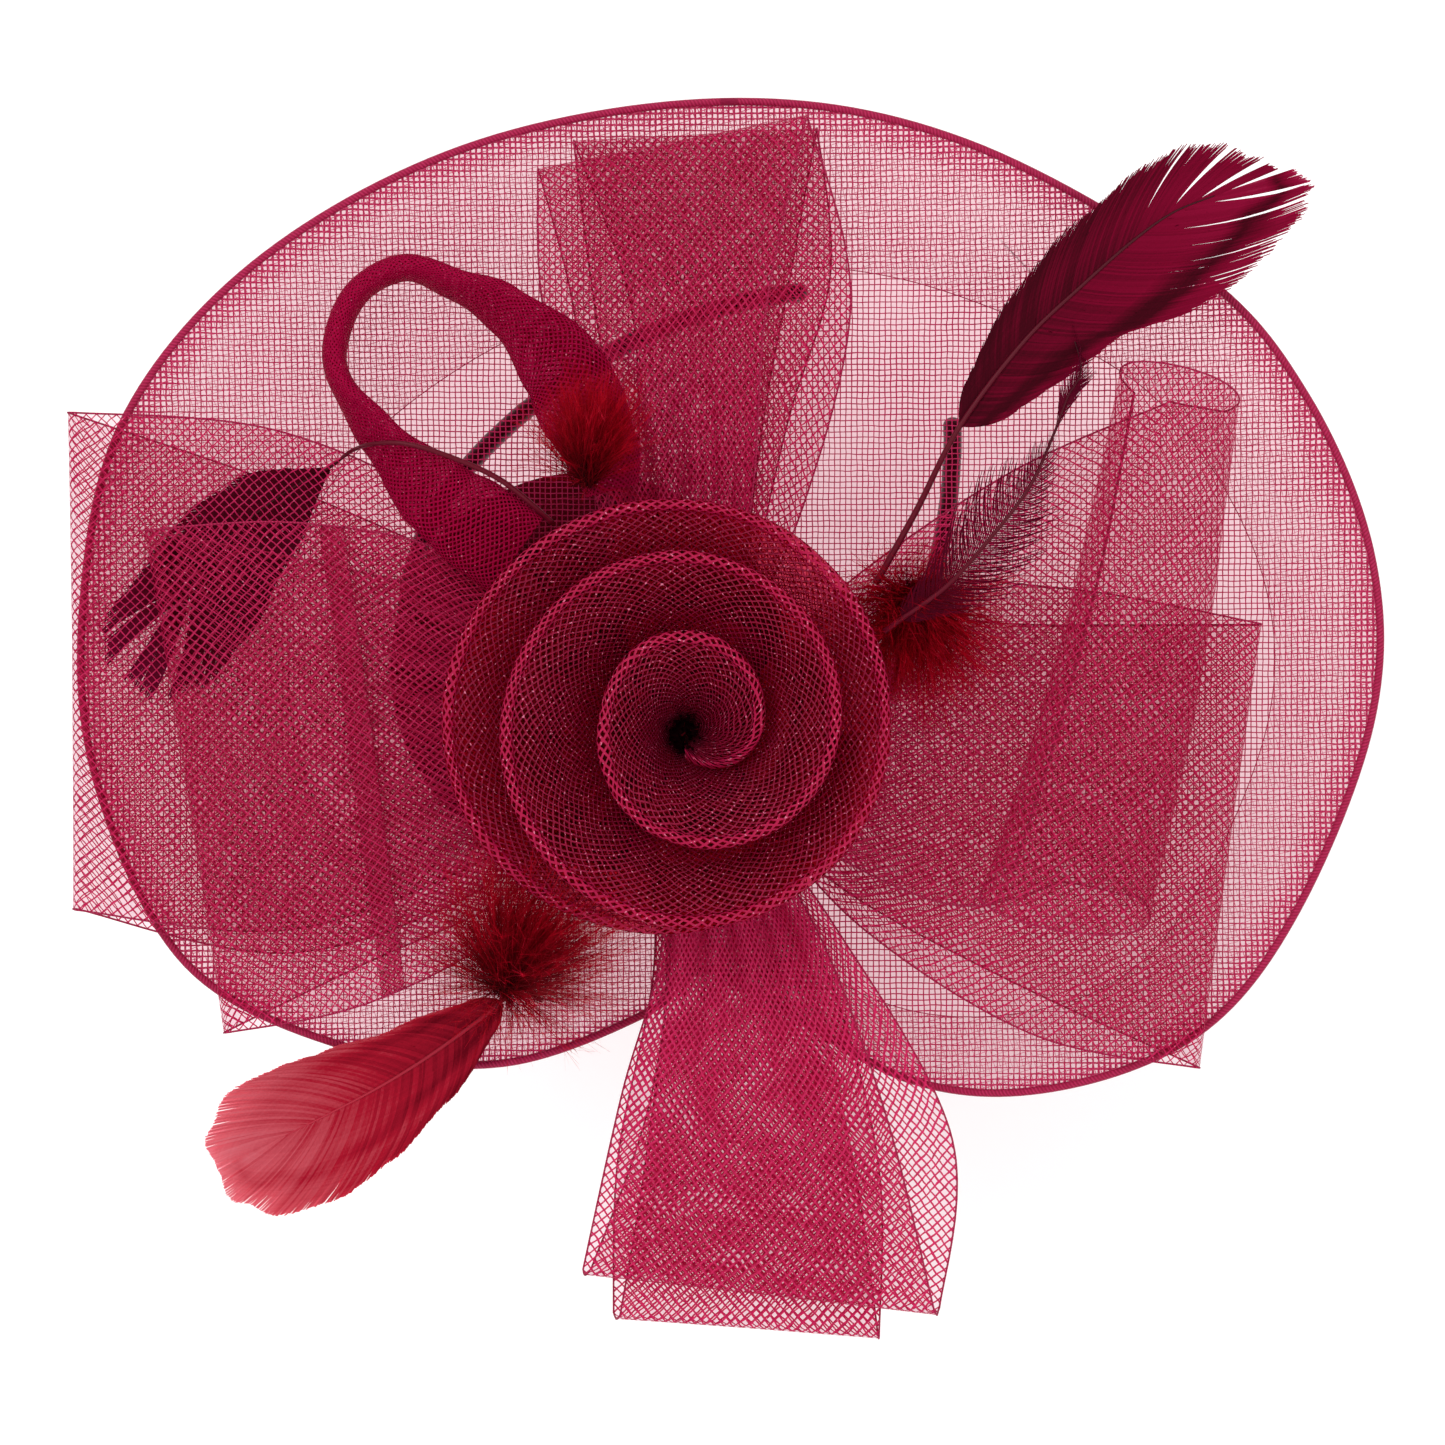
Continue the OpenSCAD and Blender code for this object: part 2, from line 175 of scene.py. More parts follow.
# ---- mesh helpers
def make_object(name, verts, faces, uvs=None, values=None, material=None):
    """A smooth mesh object from points and their UVs, in millimetres, and named values per point."""
    mesh = bpy.data.meshes.new(name)
    mesh.from_pydata([tuple(c * MM for c in v) for v in verts], [], faces)
    if uvs is not None:
        corners = np.zeros(len(mesh.loops), np.int32)
        mesh.loops.foreach_get("vertex_index", corners)
        layer = mesh.uv_layers.new(name="UVMap")
        layer.data.foreach_set("uv", np.array(uvs, np.float32)[corners].ravel())
    for key, data in (values or {}).items():
        mesh.attributes.new(key, "FLOAT", "POINT").data.foreach_set("value", np.array(data, np.float32))
    mesh.polygons.foreach_set("use_smooth", [True] * len(mesh.polygons))
    obj = bpy.data.objects.new(name, mesh)
    bpy.context.scene.collection.objects.link(obj)
    if material:
        mesh.materials.append(material)
    return obj


def grid(rows, cols, wrap=False):
    """Quads of a grid of points stored row by row."""
    last = cols if wrap else cols - 1
    return [
        (i * cols + j, i * cols + (j + 1) % cols, (i + 1) * cols + (j + 1) % cols, (i + 1) * cols + j)
        for i in range(rows - 1) for j in range(last)
    ]


class Strands:
    """Collects many thin ribbons or tubes into one mesh."""

    def __init__(self):
        self.verts, self.faces, self.uvs, self.tone = [], [], [], []

    def blade(self, line, side, width, tone):
        """A flat ribbon along a line; width and tone are functions of the share along it."""
        first, last = len(self.verts), len(line) - 1
        run = 0.0
        for i, p in enumerate(line):
            t = i / last
            half = side * width(t) / 2
            run += (p - line[i - 1]).length if i else 0
            self.verts += [p - half, p + half]
            self.uvs += [(run, -half.length), (run, half.length)]
            self.tone += [tone(t)] * 2
        self.faces += [tuple(first + 2 * i + k for k in (0, 1, 3, 2)) for i in range(last)]

    def tube(self, line, thick, thin=None, sides=5, closed=False):
        """A round strand whose radius goes from thick to thin, or stays thick; its tone goes from 1 to 0."""
        first, n = len(self.verts), len(line)
        run = 0.0
        for i, p in enumerate(line):
            t = i / (n - 1)
            radius = thick if thin is None else mix(thick, thin, t)
            ahead, behind = ((i + 1) % n, i - 1) if closed else (min(n - 1, i + 1), max(0, i - 1))
            go = (line[ahead] - line[behind]).normalized()
            u = go.cross(UP if abs(go.z) < 0.95 else Vector((1, 0, 0))).normalized()
            w = u.cross(go)
            run += (p - line[i - 1]).length if i else 0
            for a in around(sides):
                self.verts.append(p + (u * cos(a) + w * sin(a)) * radius)
                self.uvs.append((run, radius * a))
                self.tone.append(1 - t)
        rows = n + 1 if closed else n
        self.faces += [tuple(first + v % (n * sides) for v in face) for face in grid(rows, sides, wrap=True)]
        if not closed:
            self.faces.append(tuple(first + s for s in reversed(range(sides))))
            self.faces.append(tuple(first + (n - 1) * sides + s for s in range(sides)))

    def build(self, name, material):
        return make_object(name, self.verts, self.faces, self.uvs, {"tone": self.tone}, material)


def place(obj, slot, *nodes, body="root"):
    """Rides a piece on its body and lets it stand for CAD nodes, whose parts it hides; slot, its finish, is not
    used.
    """
    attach(obj, body)
    if nodes:
        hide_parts(*nodes)
    return obj


# ---- materials
def srgb(r, g, b):
    def linear(c):
        c /= 255
        return c / 12.92 if c <= 0.04045 else ((c + 0.055) / 1.055) ** 2.4
    return (linear(r), linear(g), linear(b), 1.0)


# Painted shade colour that nets take on deep down in folds
PAINTED_FOLD_SHADE = srgb(26, 0, 7)
# Colour of the painted highlight on threads that glint
PAINTED_GLINT = srgb(222, 120, 150)


class Shader:
    """A material's node tree, with short ways to add nodes."""

    def __init__(self, name):
        self.material = bpy.data.materials.new(name)
        self.material.use_nodes = True
        self.tree = self.material.node_tree
        self.tree.nodes.clear()
        self.out = self.tree.nodes.new("ShaderNodeOutputMaterial")

    def add(self, kind, inputs=None, **settings):
        node = self.tree.nodes.new("ShaderNode" + kind)
        for key, value in settings.items():
            setattr(node, key, value)
        for key, value in (inputs or {}).items():
            self.feed(node.inputs[key], value)
        return node

    def feed(self, socket, value):
        if isinstance(value, bpy.types.NodeSocket):
            self.tree.links.new(value, socket)
        else:
            socket.default_value = value

    def math(self, operation, *values):
        node = self.add("Math", operation=operation)
        for socket, value in zip(node.inputs, values):
            self.feed(socket, value)
        return node.outputs[0]

    def plus(self, a, b):
        return self.math("ADD", a, b)

    def minus(self, a, b):
        return self.math("SUBTRACT", a, b)

    def times(self, a, b):
        return self.math("MULTIPLY", a, b)

    def uv(self):
        return self.add("UVMap", uv_map="UVMap").outputs["UV"]

    def parts(self, vector):
        outputs = self.add("SeparateXYZ", {"Vector": vector}).outputs
        return outputs["X"], outputs["Y"]

    def attribute(self, name):
        return self.add("Attribute", attribute_name=name, attribute_type="GEOMETRY").outputs["Fac"]

    def noise(self, vector, scale, detail=2.0, rough=0.5):
        node = self.add("TexNoise", {"Vector": vector, "Scale": scale, "Detail": detail, "Roughness": rough})
        return node.outputs["Fac"]

    def ramp(self, factor, *stops):
        node = self.add("ValToRGB", {"Fac": factor})
        elements = node.color_ramp.elements
        while len(elements) < len(stops):
            elements.new(0.5)
        for element, (position, colour) in zip(elements, stops):
            element.position, element.color = position, colour
        return node.outputs["Color"]

    def blend(self, factor, a, b):
        node = self.add("Mix", data_type="RGBA")
        for key, value in (("Factor", factor), ("A", a), ("B", b)):
            sockets = [s for s in node.inputs if s.name == key and (s.type == "RGBA" or key == "Factor")]
            self.feed(sockets[0], value)
        return [s for s in node.outputs if s.type == "RGBA"][0]

    def surface(self, colour, rough, height, strength, depth, gloss=0.5, **more):
        """A surface with a bump of the given strength and depth in metres."""
        bump = self.add("Bump", {"Strength": strength, "Distance": depth, "Height": height}).outputs["Normal"]
        inputs = {"Base Color": colour, "Roughness": rough, "Normal": bump, "Specular IOR Level": gloss}
        return self.add("BsdfPrincipled", {**inputs, **more}).outputs[0]

    def mix(self, factor, a, b):
        return self.add("MixShader", {0: factor, 1: a, 2: b}).outputs[0]

    def lit_through(self, glow, body, colour):
        return self.mix(glow, body, self.add("BsdfTranslucent", {"Color": colour}).outputs[0])

    def finish(self, shader):
        self.tree.links.new(shader, self.out.inputs["Surface"])
        return self.material


def net_material(name, cell, thread, dark, light, hole, turn=0.0, glint=0.0, glow=0.35, wobble=0.12, long=1.0,
                 shine=0.2, gloss=0.14):
    """Woven net: two thread families over UVs in millimetres, with clear holes between them.

    cell is the thread spacing, thread its width and long how far the cells are drawn out along the run.
    The dense attribute widens the threads where the cloth is squeezed, and brightens them by shine, a painted
    highlight that is strongest on the rose's rims; another attribute mixes painted shade into deep folds. glint
    sets how many threads get a painted highlight, as if catching the light, and glow how much light comes through.
    """
    s = Shader(name)
    uv = s.uv()
    along_run, v = s.parts(uv)
    u = s.math("DIVIDE", along_run, long)
    slip = s.times(s.minus(s.noise(uv, 0.16, 3.0), 0.5), wobble * 12)
    p = s.plus(s.plus(s.times(u, cos(turn)), s.times(v, sin(turn))), slip)
    q = s.plus(s.minus(s.times(v, cos(turn)), s.times(u, sin(turn))), slip)
    dense = s.attribute("dense")
    half = s.times(s.plus(s.plus(0.6, dense), s.times(s.noise(uv, 0.05, 3.0), 0.8)), thread / 2)
    masks, lifts = [], []
    for axis in (p, q):
        away = s.math("ABSOLUTE", s.minus(s.math("FRACT", s.math("DIVIDE", axis, cell)), 0.5))
        reach = s.times(away, cell)
        masks.append(s.math("LESS_THAN", reach, half))
        lifts.append(s.minus(1.0, s.math("DIVIDE", reach, half)))
    cover = s.math("MAXIMUM", *masks)
    lift = s.math("MAXIMUM", s.math("MAXIMUM", *lifts), 0.0)
    mottle = s.math("MULTIPLY_ADD", s.noise(uv, 0.8, 4.0, 0.7), 1.8, -0.4)
    # Painted highlight: denser cloth takes the lighter thread colour by shine, most on the rose's rims
    colour = s.blend(s.plus(mottle, s.times(dense, shine)), srgb(*dark), srgb(*light))
    # Painted shade: deep folds darken towards a near-black crimson
    colour = s.blend(s.attribute("painted_shade"), colour, PAINTED_FOLD_SHADE)
    # Painted highlight: scattered threads coloured as if they caught the light
    if glint:
        painted_glint_mask = s.math("GREATER_THAN", s.noise(uv, 1.1, 1.0), 1.0 - glint)
        colour = s.blend(painted_glint_mask, colour, PAINTED_GLINT)
    solid = s.lit_through(glow, s.surface(colour, 0.42, lift, 0.5, 0.00012, gloss), colour)
    # Holes tint what shows through them: fibre haze and layers behind, and partly painted shadow on the surface
    # behind the net
    clear = s.add("BsdfTransparent", {"Color": (*hole, 1)}).outputs[0]
    return s.finish(s.mix(cover, clear, solid))


def fibre_material(name, stops, rough=0.5, glow=0.3, gloss=0.05):
    """Feather barbs, down and quills: fine streaks, and colour along the tone value by stops of (tone, colour)."""
    s = Shader(name)
    speck = s.noise(s.uv(), 1.2, 3.0)
    tone = s.plus(s.attribute("tone"), s.times(s.minus(speck, 0.5), 0.22))
    colour = s.ramp(tone, *((share, srgb(*shade)) for share, shade in stops))
    body = s.surface(colour, rough, speck, 0.35, 0.0001, gloss)
    return s.finish(s.lit_through(glow, body, colour))


def cord_material(name, dark, light):
    """A wrapped cord: slanting turns of thread round it."""
    s = Shader(name)
    uv = s.uv()
    u, v = s.parts(uv)
    twist = s.plus(s.times(u, 7.0), s.times(v, 3.5))
    wave = s.plus(s.times(s.math("SINE", twist), 0.5), 0.5)
    colour = s.blend(s.times(wave, s.noise(uv, 0.5)), srgb(*dark), srgb(*light))
    return s.finish(s.surface(colour, 0.5, wave, 0.6, 0.0002, 0.15))


def satin_material(name):
    """Satin ribbon: fine warp lines, soft anisotropic shine and slight shade changes."""
    s = Shader(name)
    uv = s.uv()
    u, v = s.parts(uv)
    warp = s.times(s.math("SINE", s.times(v, 22.0)), 0.35)
    weave = s.plus(warp, s.times(s.math("SINE", s.times(u, 30.0)), 0.65))
    colour = s.blend(s.noise(uv, 0.3, 4.0), srgb(30, 0, 7), srgb(62, 0, 18))
    shine = {"Anisotropic": 0.6, "Specular Tint": srgb(255, 150, 175)}
    return s.finish(s.surface(colour, 0.36, weave, 0.35, 0.00008, 0.25, **shine))


def cloth_material(name, dark, light, weave_scale, fuzz, rough):
    """Felt or stiffened fabric in object space: matted fibres over an optional plain weave."""
    s = Shader(name)
    place_of = s.add("TexCoord").outputs["Object"]
    fibre = s.noise(place_of, 1800.0, 6.0, 0.75)
    cloud = s.noise(place_of, 60.0, 4.0)
    height = s.times(fibre, fuzz)
    if weave_scale:
        waves = [s.math("SINE", s.times(part, weave_scale)) for part in s.parts(place_of)]
        height = s.plus(height, s.times(*waves))
    colour = s.blend(s.times(s.plus(fibre, cloud), 0.6), srgb(*dark), srgb(*light))
    nap = {"Sheen Weight": 0.12, "Sheen Roughness": 0.6, "Sheen Tint": srgb(255, 140, 160)}
    return s.finish(s.surface(colour, rough, height, 0.6, 0.0003, 0.1, **nap))


def steel_material(name):
    """Bright sheet steel with rolling lines and light scuffs."""
    s = Shader(name)
    place_of = s.add("TexCoord").outputs["Object"]
    stretched = s.add("Mapping", {"Vector": place_of, "Scale": (1.0, 24.0, 1.0)}).outputs["Vector"]
    lines = s.noise(stretched, 900.0, 4.0)
    scuff = s.noise(place_of, 500.0, 5.0)
    colour = s.blend(scuff, srgb(186, 186, 190), srgb(232, 232, 234))
    rough = s.plus(0.18, s.times(scuff, 0.22))
    return s.finish(s.surface(colour, rough, lines, 0.15, 0.00005, Metallic=1.0))


def plastic_material(name):
    """Smooth off-white plastic with a faint grain."""
    s = Shader(name)
    grainy = s.noise(s.add("TexCoord").outputs["Object"], 700.0, 3.0)
    colour = s.blend(grainy, srgb(214, 212, 200), srgb(232, 230, 222))
    return s.finish(s.surface(colour, 0.5, grainy, 0.1, 0.0001))


def make_materials():
    """All materials by key; a net's last colour is the light that its holes let through, darkened partly by the
    haze of loose fibres and layers behind and partly as painted shadow on the surface behind the net.
    """
    bias = radians(45)
    wine, pink = (136, 8, 52), (190, 42, 92)
    return {
        "brim": net_material("brim_net", 1.4, 0.29, (146, 14, 56), pink, (0.80, 0.58, 0.62), wobble=0.06),
        "fold": net_material(
            "fold_net", 1.4, 0.11, (172, 36, 80), (212, 78, 120), (0.97, 0.96, 0.96), radians(16), wobble=0.10),
        "ribbon": net_material(
            "ribbon_net", 1.8, 0.28, (148, 4, 54), (216, 38, 100), (0.89, 0.77, 0.80), bias, 0.29),
        "tube": net_material(
            "tube_net", 1.0, 0.37, (126, 0, 42), (180, 4, 68), (0.60, 0.22, 0.33), bias, 0.26, gloss=0.04),
        # The rose's high shine paints a highlight on its rolled rims
        "rose": net_material(
            "rose_net", 1.15, 0.27, (84, 0, 24), (186, 22, 74), (0.80, 0.26, 0.36), bias, 0.32, 0.25,
            long=1.8, shine=0.9),
        "hem": cord_material("hem_cord", wine, pink),
        "feather": fibre_material(
            "feather", ((0.0, (66, 0, 18)), (0.35, (122, 0, 40)), (0.75, (146, 8, 54)), (1.0, (176, 62, 98)))),
        "pale": fibre_material(
            "feather_pale",
            ((0.0, (116, 0, 24)), (0.35, (186, 22, 50)), (0.7, (220, 96, 110)), (1.0, (230, 132, 144))),
            glow=0.45),
        "dark": fibre_material("feather_dark", ((0.0, (70, 0, 20)), (0.6, (92, 2, 34)), (1.0, (112, 12, 54)))),
        "down": fibre_material(
            "down", ((0.0, (36, 0, 4)), (0.4, (130, 0, 18)), (0.8, (190, 4, 32)), (1.0, (204, 34, 62))),
            glow=0.4),
        "heart": fibre_material("heart", ((0.0, (14, 0, 3)), (1.0, (52, 0, 14))), 0.7, 0.0),
        "quill": fibre_material("quill", ((0.0, (52, 0, 14)), (1.0, (96, 2, 28))), 0.4, 0.05, 0.15),
        "pale_quill": fibre_material("pale_quill", ((0.0, (186, 50, 68)), (1.0, (104, 2, 26))), 0.4, 0.1),
        "satin": satin_material("satin"),
        "felt": cloth_material("felt", (66, 0, 18), (104, 6, 34), 0.0, 1.0, 0.95),
        "buckram": cloth_material("buckram", (74, 0, 22), (114, 6, 38), 5200.0, 0.4, 0.8),
        "thread": cord_material("thread", (110, 4, 38), (176, 30, 74)),
        "steel": steel_material("clip_steel"),
        "core": plastic_material("band_core"),
    }


# ---- stage
# In metres: the plan point in the middle of the view, the camera's height over the object's middle height, the
# width that the view takes in there, and the floor's height under the worn headband and its size
VIEW_CENTRE = (0.0201, 0.0046)
VIEW_HEIGHT, MIDDLE_Z, VIEW_WIDTH = 1.4, 0.018, 0.36125
SENSOR = 36.0
FLOOR_Z, FLOOR_SIZE = -0.165, 6.0

# Each lamp: name, place and size in metres, power in watts
LAMPS = (("key", (-0.9, 0.9, 1.7), 1.2, 16.0), ("fill", (1.2, -0.6, 1.5), 1.6, 9.0))
SKY_STRENGTH = 0.95


def make_stage():
    """Camera straight above the open face, pale floor under the worn headband, soft light from all round."""
    scene = bpy.context.scene
    camera_data = bpy.data.cameras.new("camera")
    camera_data.sensor_width = SENSOR
    camera_data.lens = SENSOR * VIEW_HEIGHT / VIEW_WIDTH
    camera = bpy.data.objects.new("camera", camera_data)
    camera.location = (*VIEW_CENTRE, VIEW_HEIGHT + MIDDLE_Z)
    scene.collection.objects.link(camera)
    scene.camera = camera

    half = FLOOR_SIZE / 2 / MM
    corners = [Vector((x * half, y * half, FLOOR_Z / MM)) for x, y in ((-1, -1), (1, -1), (1, 1), (-1, 1))]
    s = Shader("floor")
    spot = s.noise(s.add("TexCoord").outputs["Object"], 3.0)
    colour = s.blend(spot, srgb(250, 249, 249), srgb(255, 255, 255))
    body = s.add("BsdfPrincipled", {
        "Base Color": colour, "Roughness": 0.9, "Specular IOR Level": 0.1, "Emission Color": colour,
        "Emission Strength": 0.1})
    make_object("floor", corners, [(0, 1, 2, 3)], material=s.finish(body.outputs[0]))

    world = bpy.data.worlds.new("studio")
    world.use_nodes = True
    sky = world.node_tree.nodes["Background"]
    sky.inputs["Color"].default_value = (1.0, 1.0, 1.0, 1)
    sky.inputs["Strength"].default_value = SKY_STRENGTH
    scene.world = world
    for name, place_at, size, power in LAMPS:
        lamp = bpy.data.lights.new(name, "AREA")
        lamp.size, lamp.energy = size, power
        lamp_object = bpy.data.objects.new(name, lamp)
        lamp_object.location = place_at
        lamp_object.rotation_euler = (-Vector(place_at)).to_track_quat("-Z", "Y").to_euler()
        scene.collection.objects.link(lamp_object)
    scene.view_settings.view_transform = "Standard"
    scene.cycles.transparent_max_bounces = 40


# ---- brim
def fold_reach(p):
    """Width of the turned-over layer, wide on the left and narrow on the right."""
    a = atan2(p.y - KNOT.y, p.x - KNOT.x)
    return FOLD_WIDE - FOLD_LEFT * cos(a) + FOLD_UP * sin(a)


def outline_points():
    return smooth_ring(BRIM_POINTS, 14)


def brim_point(edge, share, offset):
    """A point of the dished net, from the knot at share 0 to the edge at share 1, where it waves softly."""
    p = KNOT.lerp(edge, share)
    a = atan2(p.y - KNOT.y, p.x - KNOT.x)
    wave = 0.7 * sin(5 * a + 0.6) + 0.4 * sin(9 * a)
    return on_dish(p, offset + wave * smoothstep(0.5, 1.0, share))


def net_sheet(name, edge, first_share, rings, offset, material, dense):
    """A ring of net between a share of the way out and the edge, with UVs in plan millimetres."""
    verts, uvs, thick = [], [], []
    for i in range(rings + 1):
        for e in edge:
            share = mix(first_share(e), 1.0, i / rings)
            p = brim_point(e, share, offset)
            verts.append(p)
            uvs.append((p.x, p.y))
            thick.append(dense(e, share))
    return make_object(name, verts, grid(rings + 1, len(edge), wrap=True), uvs, {"dense": thick}, material)


def plan_area(edge):
    return abs(sum(a.x * b.y - b.x * a.y for a, b in zip(edge, edge[1:] + edge[:1]))) / 2 * MM * MM


def build_brim(mats):
    edge = outline_points()
    low, high = node_box("brim_mesh")

    def edge_pull(e, share):
        return 0.9 * smoothstep(0.95, 1.0, share)

    brim = net_sheet("brim_mesh_net", edge, lambda e: 0.01, 44, -NET_T / 2, mats["brim"], edge_pull)
    place(brim, "brim_net", "brim_mesh")

    def inner(e):
        return 1 - fold_reach(e) / (e - KNOT).length

    fold = net_sheet("brim_fold_net", edge, inner, 14, 0.4, mats["fold"], edge_pull)
    place(fold, "fold_net", "brim_fold_band")

    cord = Strands()
    line = []
    for j, e in enumerate(edge):
        go = (edge[(j + 1) % len(edge)] - edge[j - 1]).normalized()
        p = e + Vector((-go.y, go.x)) * CORD_INSET
        line.append(Vector((p.x, p.y, brim_point(e, 1.0, 0.0).z)))
    cord.tube(line, CORD_R, sides=8, closed=True)
    hem = cord.build("brim_hem", mats["hem"])
    place(hem, "hem_cord", "brim_edge_cord")

    raw = Strands()
    ring = [brim_point(e, inner(e), 0.55) for e in edge]
    raw.tube(ring, RAW_EDGE_R, closed=True)
    raw_edge = place(raw.build("fold_inner_edge", mats["hem"]), "hem_cord")

    whole = plan_area(edge)
    band = whole - plan_area([KNOT.lerp(e, inner(e)) for e in edge])


# ---- ribbon loops
# Each loop: the edges of its upper and its lower ply from near the knot out to the far fold, left or top edge
# first; the heights of its two faces above the brim; the ribbon's own width; its pleats; and its tuck, if any
LOW, HIGH, LEFT_LOW, LEFT_HIGH = (2, 8), (9, 15), (4, 11), (12, 18)
LOOPS = {
    "ribbon_loop_left_rear": (
        ([(-44, 55), (-90, 77), (-141.3, 81)], [(-40, -30), (-88, -47), (-140.5, -41.5)]),
        ([(-42, 42), (-88, 63), (-141.3, 81)], [(-38, -36), (-88, -53), (-140.5, -41.5)]), LEFT_LOW, 125, 8, 0),
    "ribbon_loop_left_front": (
        ([(-45, 45), (-84, 54), (-122.5, 52)], [(-33, -46), (-68, -65), (-103, -72)]),
        ([(-42, 34), (-84, 45), (-122.5, 52)], [(-32, -38), (-68, -55), (-103, -72)]), LEFT_HIGH, 127, 8, 0.62),
    "ribbon_loop_right": (
        ([(58, 38), (106, 38), (154, 29)], [(54, -46), (97, -73), (138.4, -81)]),
        ([(55, 29), (104, 29), (154, 29)], [(50, -37), (92, -60), (138.4, -81)]), LOW, 112, 7, 0),
    "ribbon_loop_top_rear": (
        ([(-6, 72), (-12, 110), (-16.8, 149)], [(36, 78), (47, 116), (43.5, 152)]),
        ([(-1, 72), (-3, 110), (-16.8, 149)], [(30, 78), (37, 116), (43.5, 152)]), LOW, 64, 5, 0),
    "ribbon_loop_top_front": (
        ([(-10, 68), (-24, 106), (-25.5, 141.5)], [(28, 66), (31, 108), (41, 154.5)]),
        ([(-14, 74), (-17, 108), (-25.5, 141.5)], [(40, 58), (52, 110), (41, 154.5)]), HIGH, 70, 5, 0),
    "ribbon_tail_rear": (
        ([(6, -56), (1, -104), (-5.5, -143.5)], [(47, -60), (59, -106), (58.8, -148)]),
        ([(3, -56), (-6, -104), (-7, -143.5)], [(42, -60), (53, -106), (58.8, -148)]), LOW, 68, 5, 0),
    "ribbon_tail_front": (
        ([(5, -50), (-5, -88), (-14.7, -132)], [(45, -50), (61, -94), (72.5, -141.5)]),
        ([(7, -50), (1.5, -92), (-13, -132.3)], [(48, -46), (77, -98), (73.5, -141.5)]), HIGH, 88, 5, 0),
}
# Half the width that a ply is gathered to at the knot; radius of a hem, of a cut end and of a loose hair
ROOT_HALF = 12.0
HEM_WIDE, CUT_END_R, HAIR_R = 0.26, 0.4, 0.14

# How much the pleats close up the cloth's holes, and how much the tails' closer net closes them up, which also
# stands in as painted shade for the shadow on the surface behind the tails
PLEAT_SHADE, TAIL_CLOSE = 0.55, 0.45

# Loose hairs over a tucked loop: plan point, plan run
LOOSE_HAIRS = ((-44, 29, -20, 2), (-110, 33, -11, -5))

# Steps of a ribbon's mesh across and out along a ply, and round a loop's far fold
CLOTH_COLS, OUT_ROWS, FOLD_ROWS = 97, 62, 7
TUCK_WIDE, TUCK_DEEP = 0.24, 0.08


def ply_plan(edges):
    """Plan point of a ply for the share out from the knot (0 to 1) and the place across it (1 to -1)."""
    far_a, far_b = Vector(edges[0][-1]), Vector(edges[1][-1])
    out = ((far_a + far_b) / 2 - KNOT).normalized()
    side = (far_a - far_b).normalized()
    root = KNOT + out * (KNOT_R + 0.6)
    first = smooth_line([root + side * ROOT_HALF] + list(edges[0]), 10)
    second = smooth_line([root - side * ROOT_HALF] + list(edges[1]), 10)
    return lambda s, across: along(first, s).lerp(along(second, s), (1 - across) / 2)


def tucked(share, tuck):
    """Share out along a ply that doubles back on itself in a narrow tuck."""
    x = (share - tuck) / TUCK_WIDE
    if not tuck or abs(x) > 0.5:
        return share, 0.0
    return share - TUCK_DEEP * sin(tau * x), sin(tau * x)


def pleat_shade(share, phase):
    """How much a pleat closes up the net, less towards the far end."""
    return PLEAT_SHADE * (1 - 0.8 * share) * sin(2 * phase) ** 2


def make_ribbon(node, points, width, spans, streaks, mats, extras):
    """A ribbon from rows of points, with its run along U and its own width along V, and its two dark hems.

    spans is each row's width as drawn in, streaks how much the pleats close up the net at each point, and extras
    are more strands for the hems' mesh, each with its radius.
    """
    cols = CLOTH_COLS
    rows = len(spans)
    uvs, dense, run = [], [], 0.0
    for i in range(rows):
        middle = points[i * cols + cols // 2]
        if i:
            run += (middle - points[(i - 1) * cols + cols // 2]).length
        squeeze = clamp((width / max(spans[i], 1) - 1) * 0.8)
        for j in range(cols):
            uvs.append((run, (0.5 - j / (cols - 1)) * width))
            dense.append(squeeze + streaks[i * cols + j])
    ribbon = make_object("net_" + node, points, grid(rows, cols), uvs, {"dense": dense}, mats["ribbon"])
    place(ribbon, "ribbon_net", node)
    hems = Strands()
    for j in (0, cols - 1):
        hems.tube([points[i * cols + j] for i in range(rows)], HEM_WIDE)
    for line, radius in extras:
        hems.tube(line, radius)
    hem = place(hems.build("hem_" + node, mats["hem"]), "hem_cord")


def loose_hair(x, y, go_x, go_y):
    points = [
        on_dish((x + go_x * t, y + go_y * t + 2.5 * sin(4 * t)), 18.4 + 1.5 * t) for t in (0, 0.3, 0.6, 1)
    ]
    return smooth_line(points, 6), HAIR_R


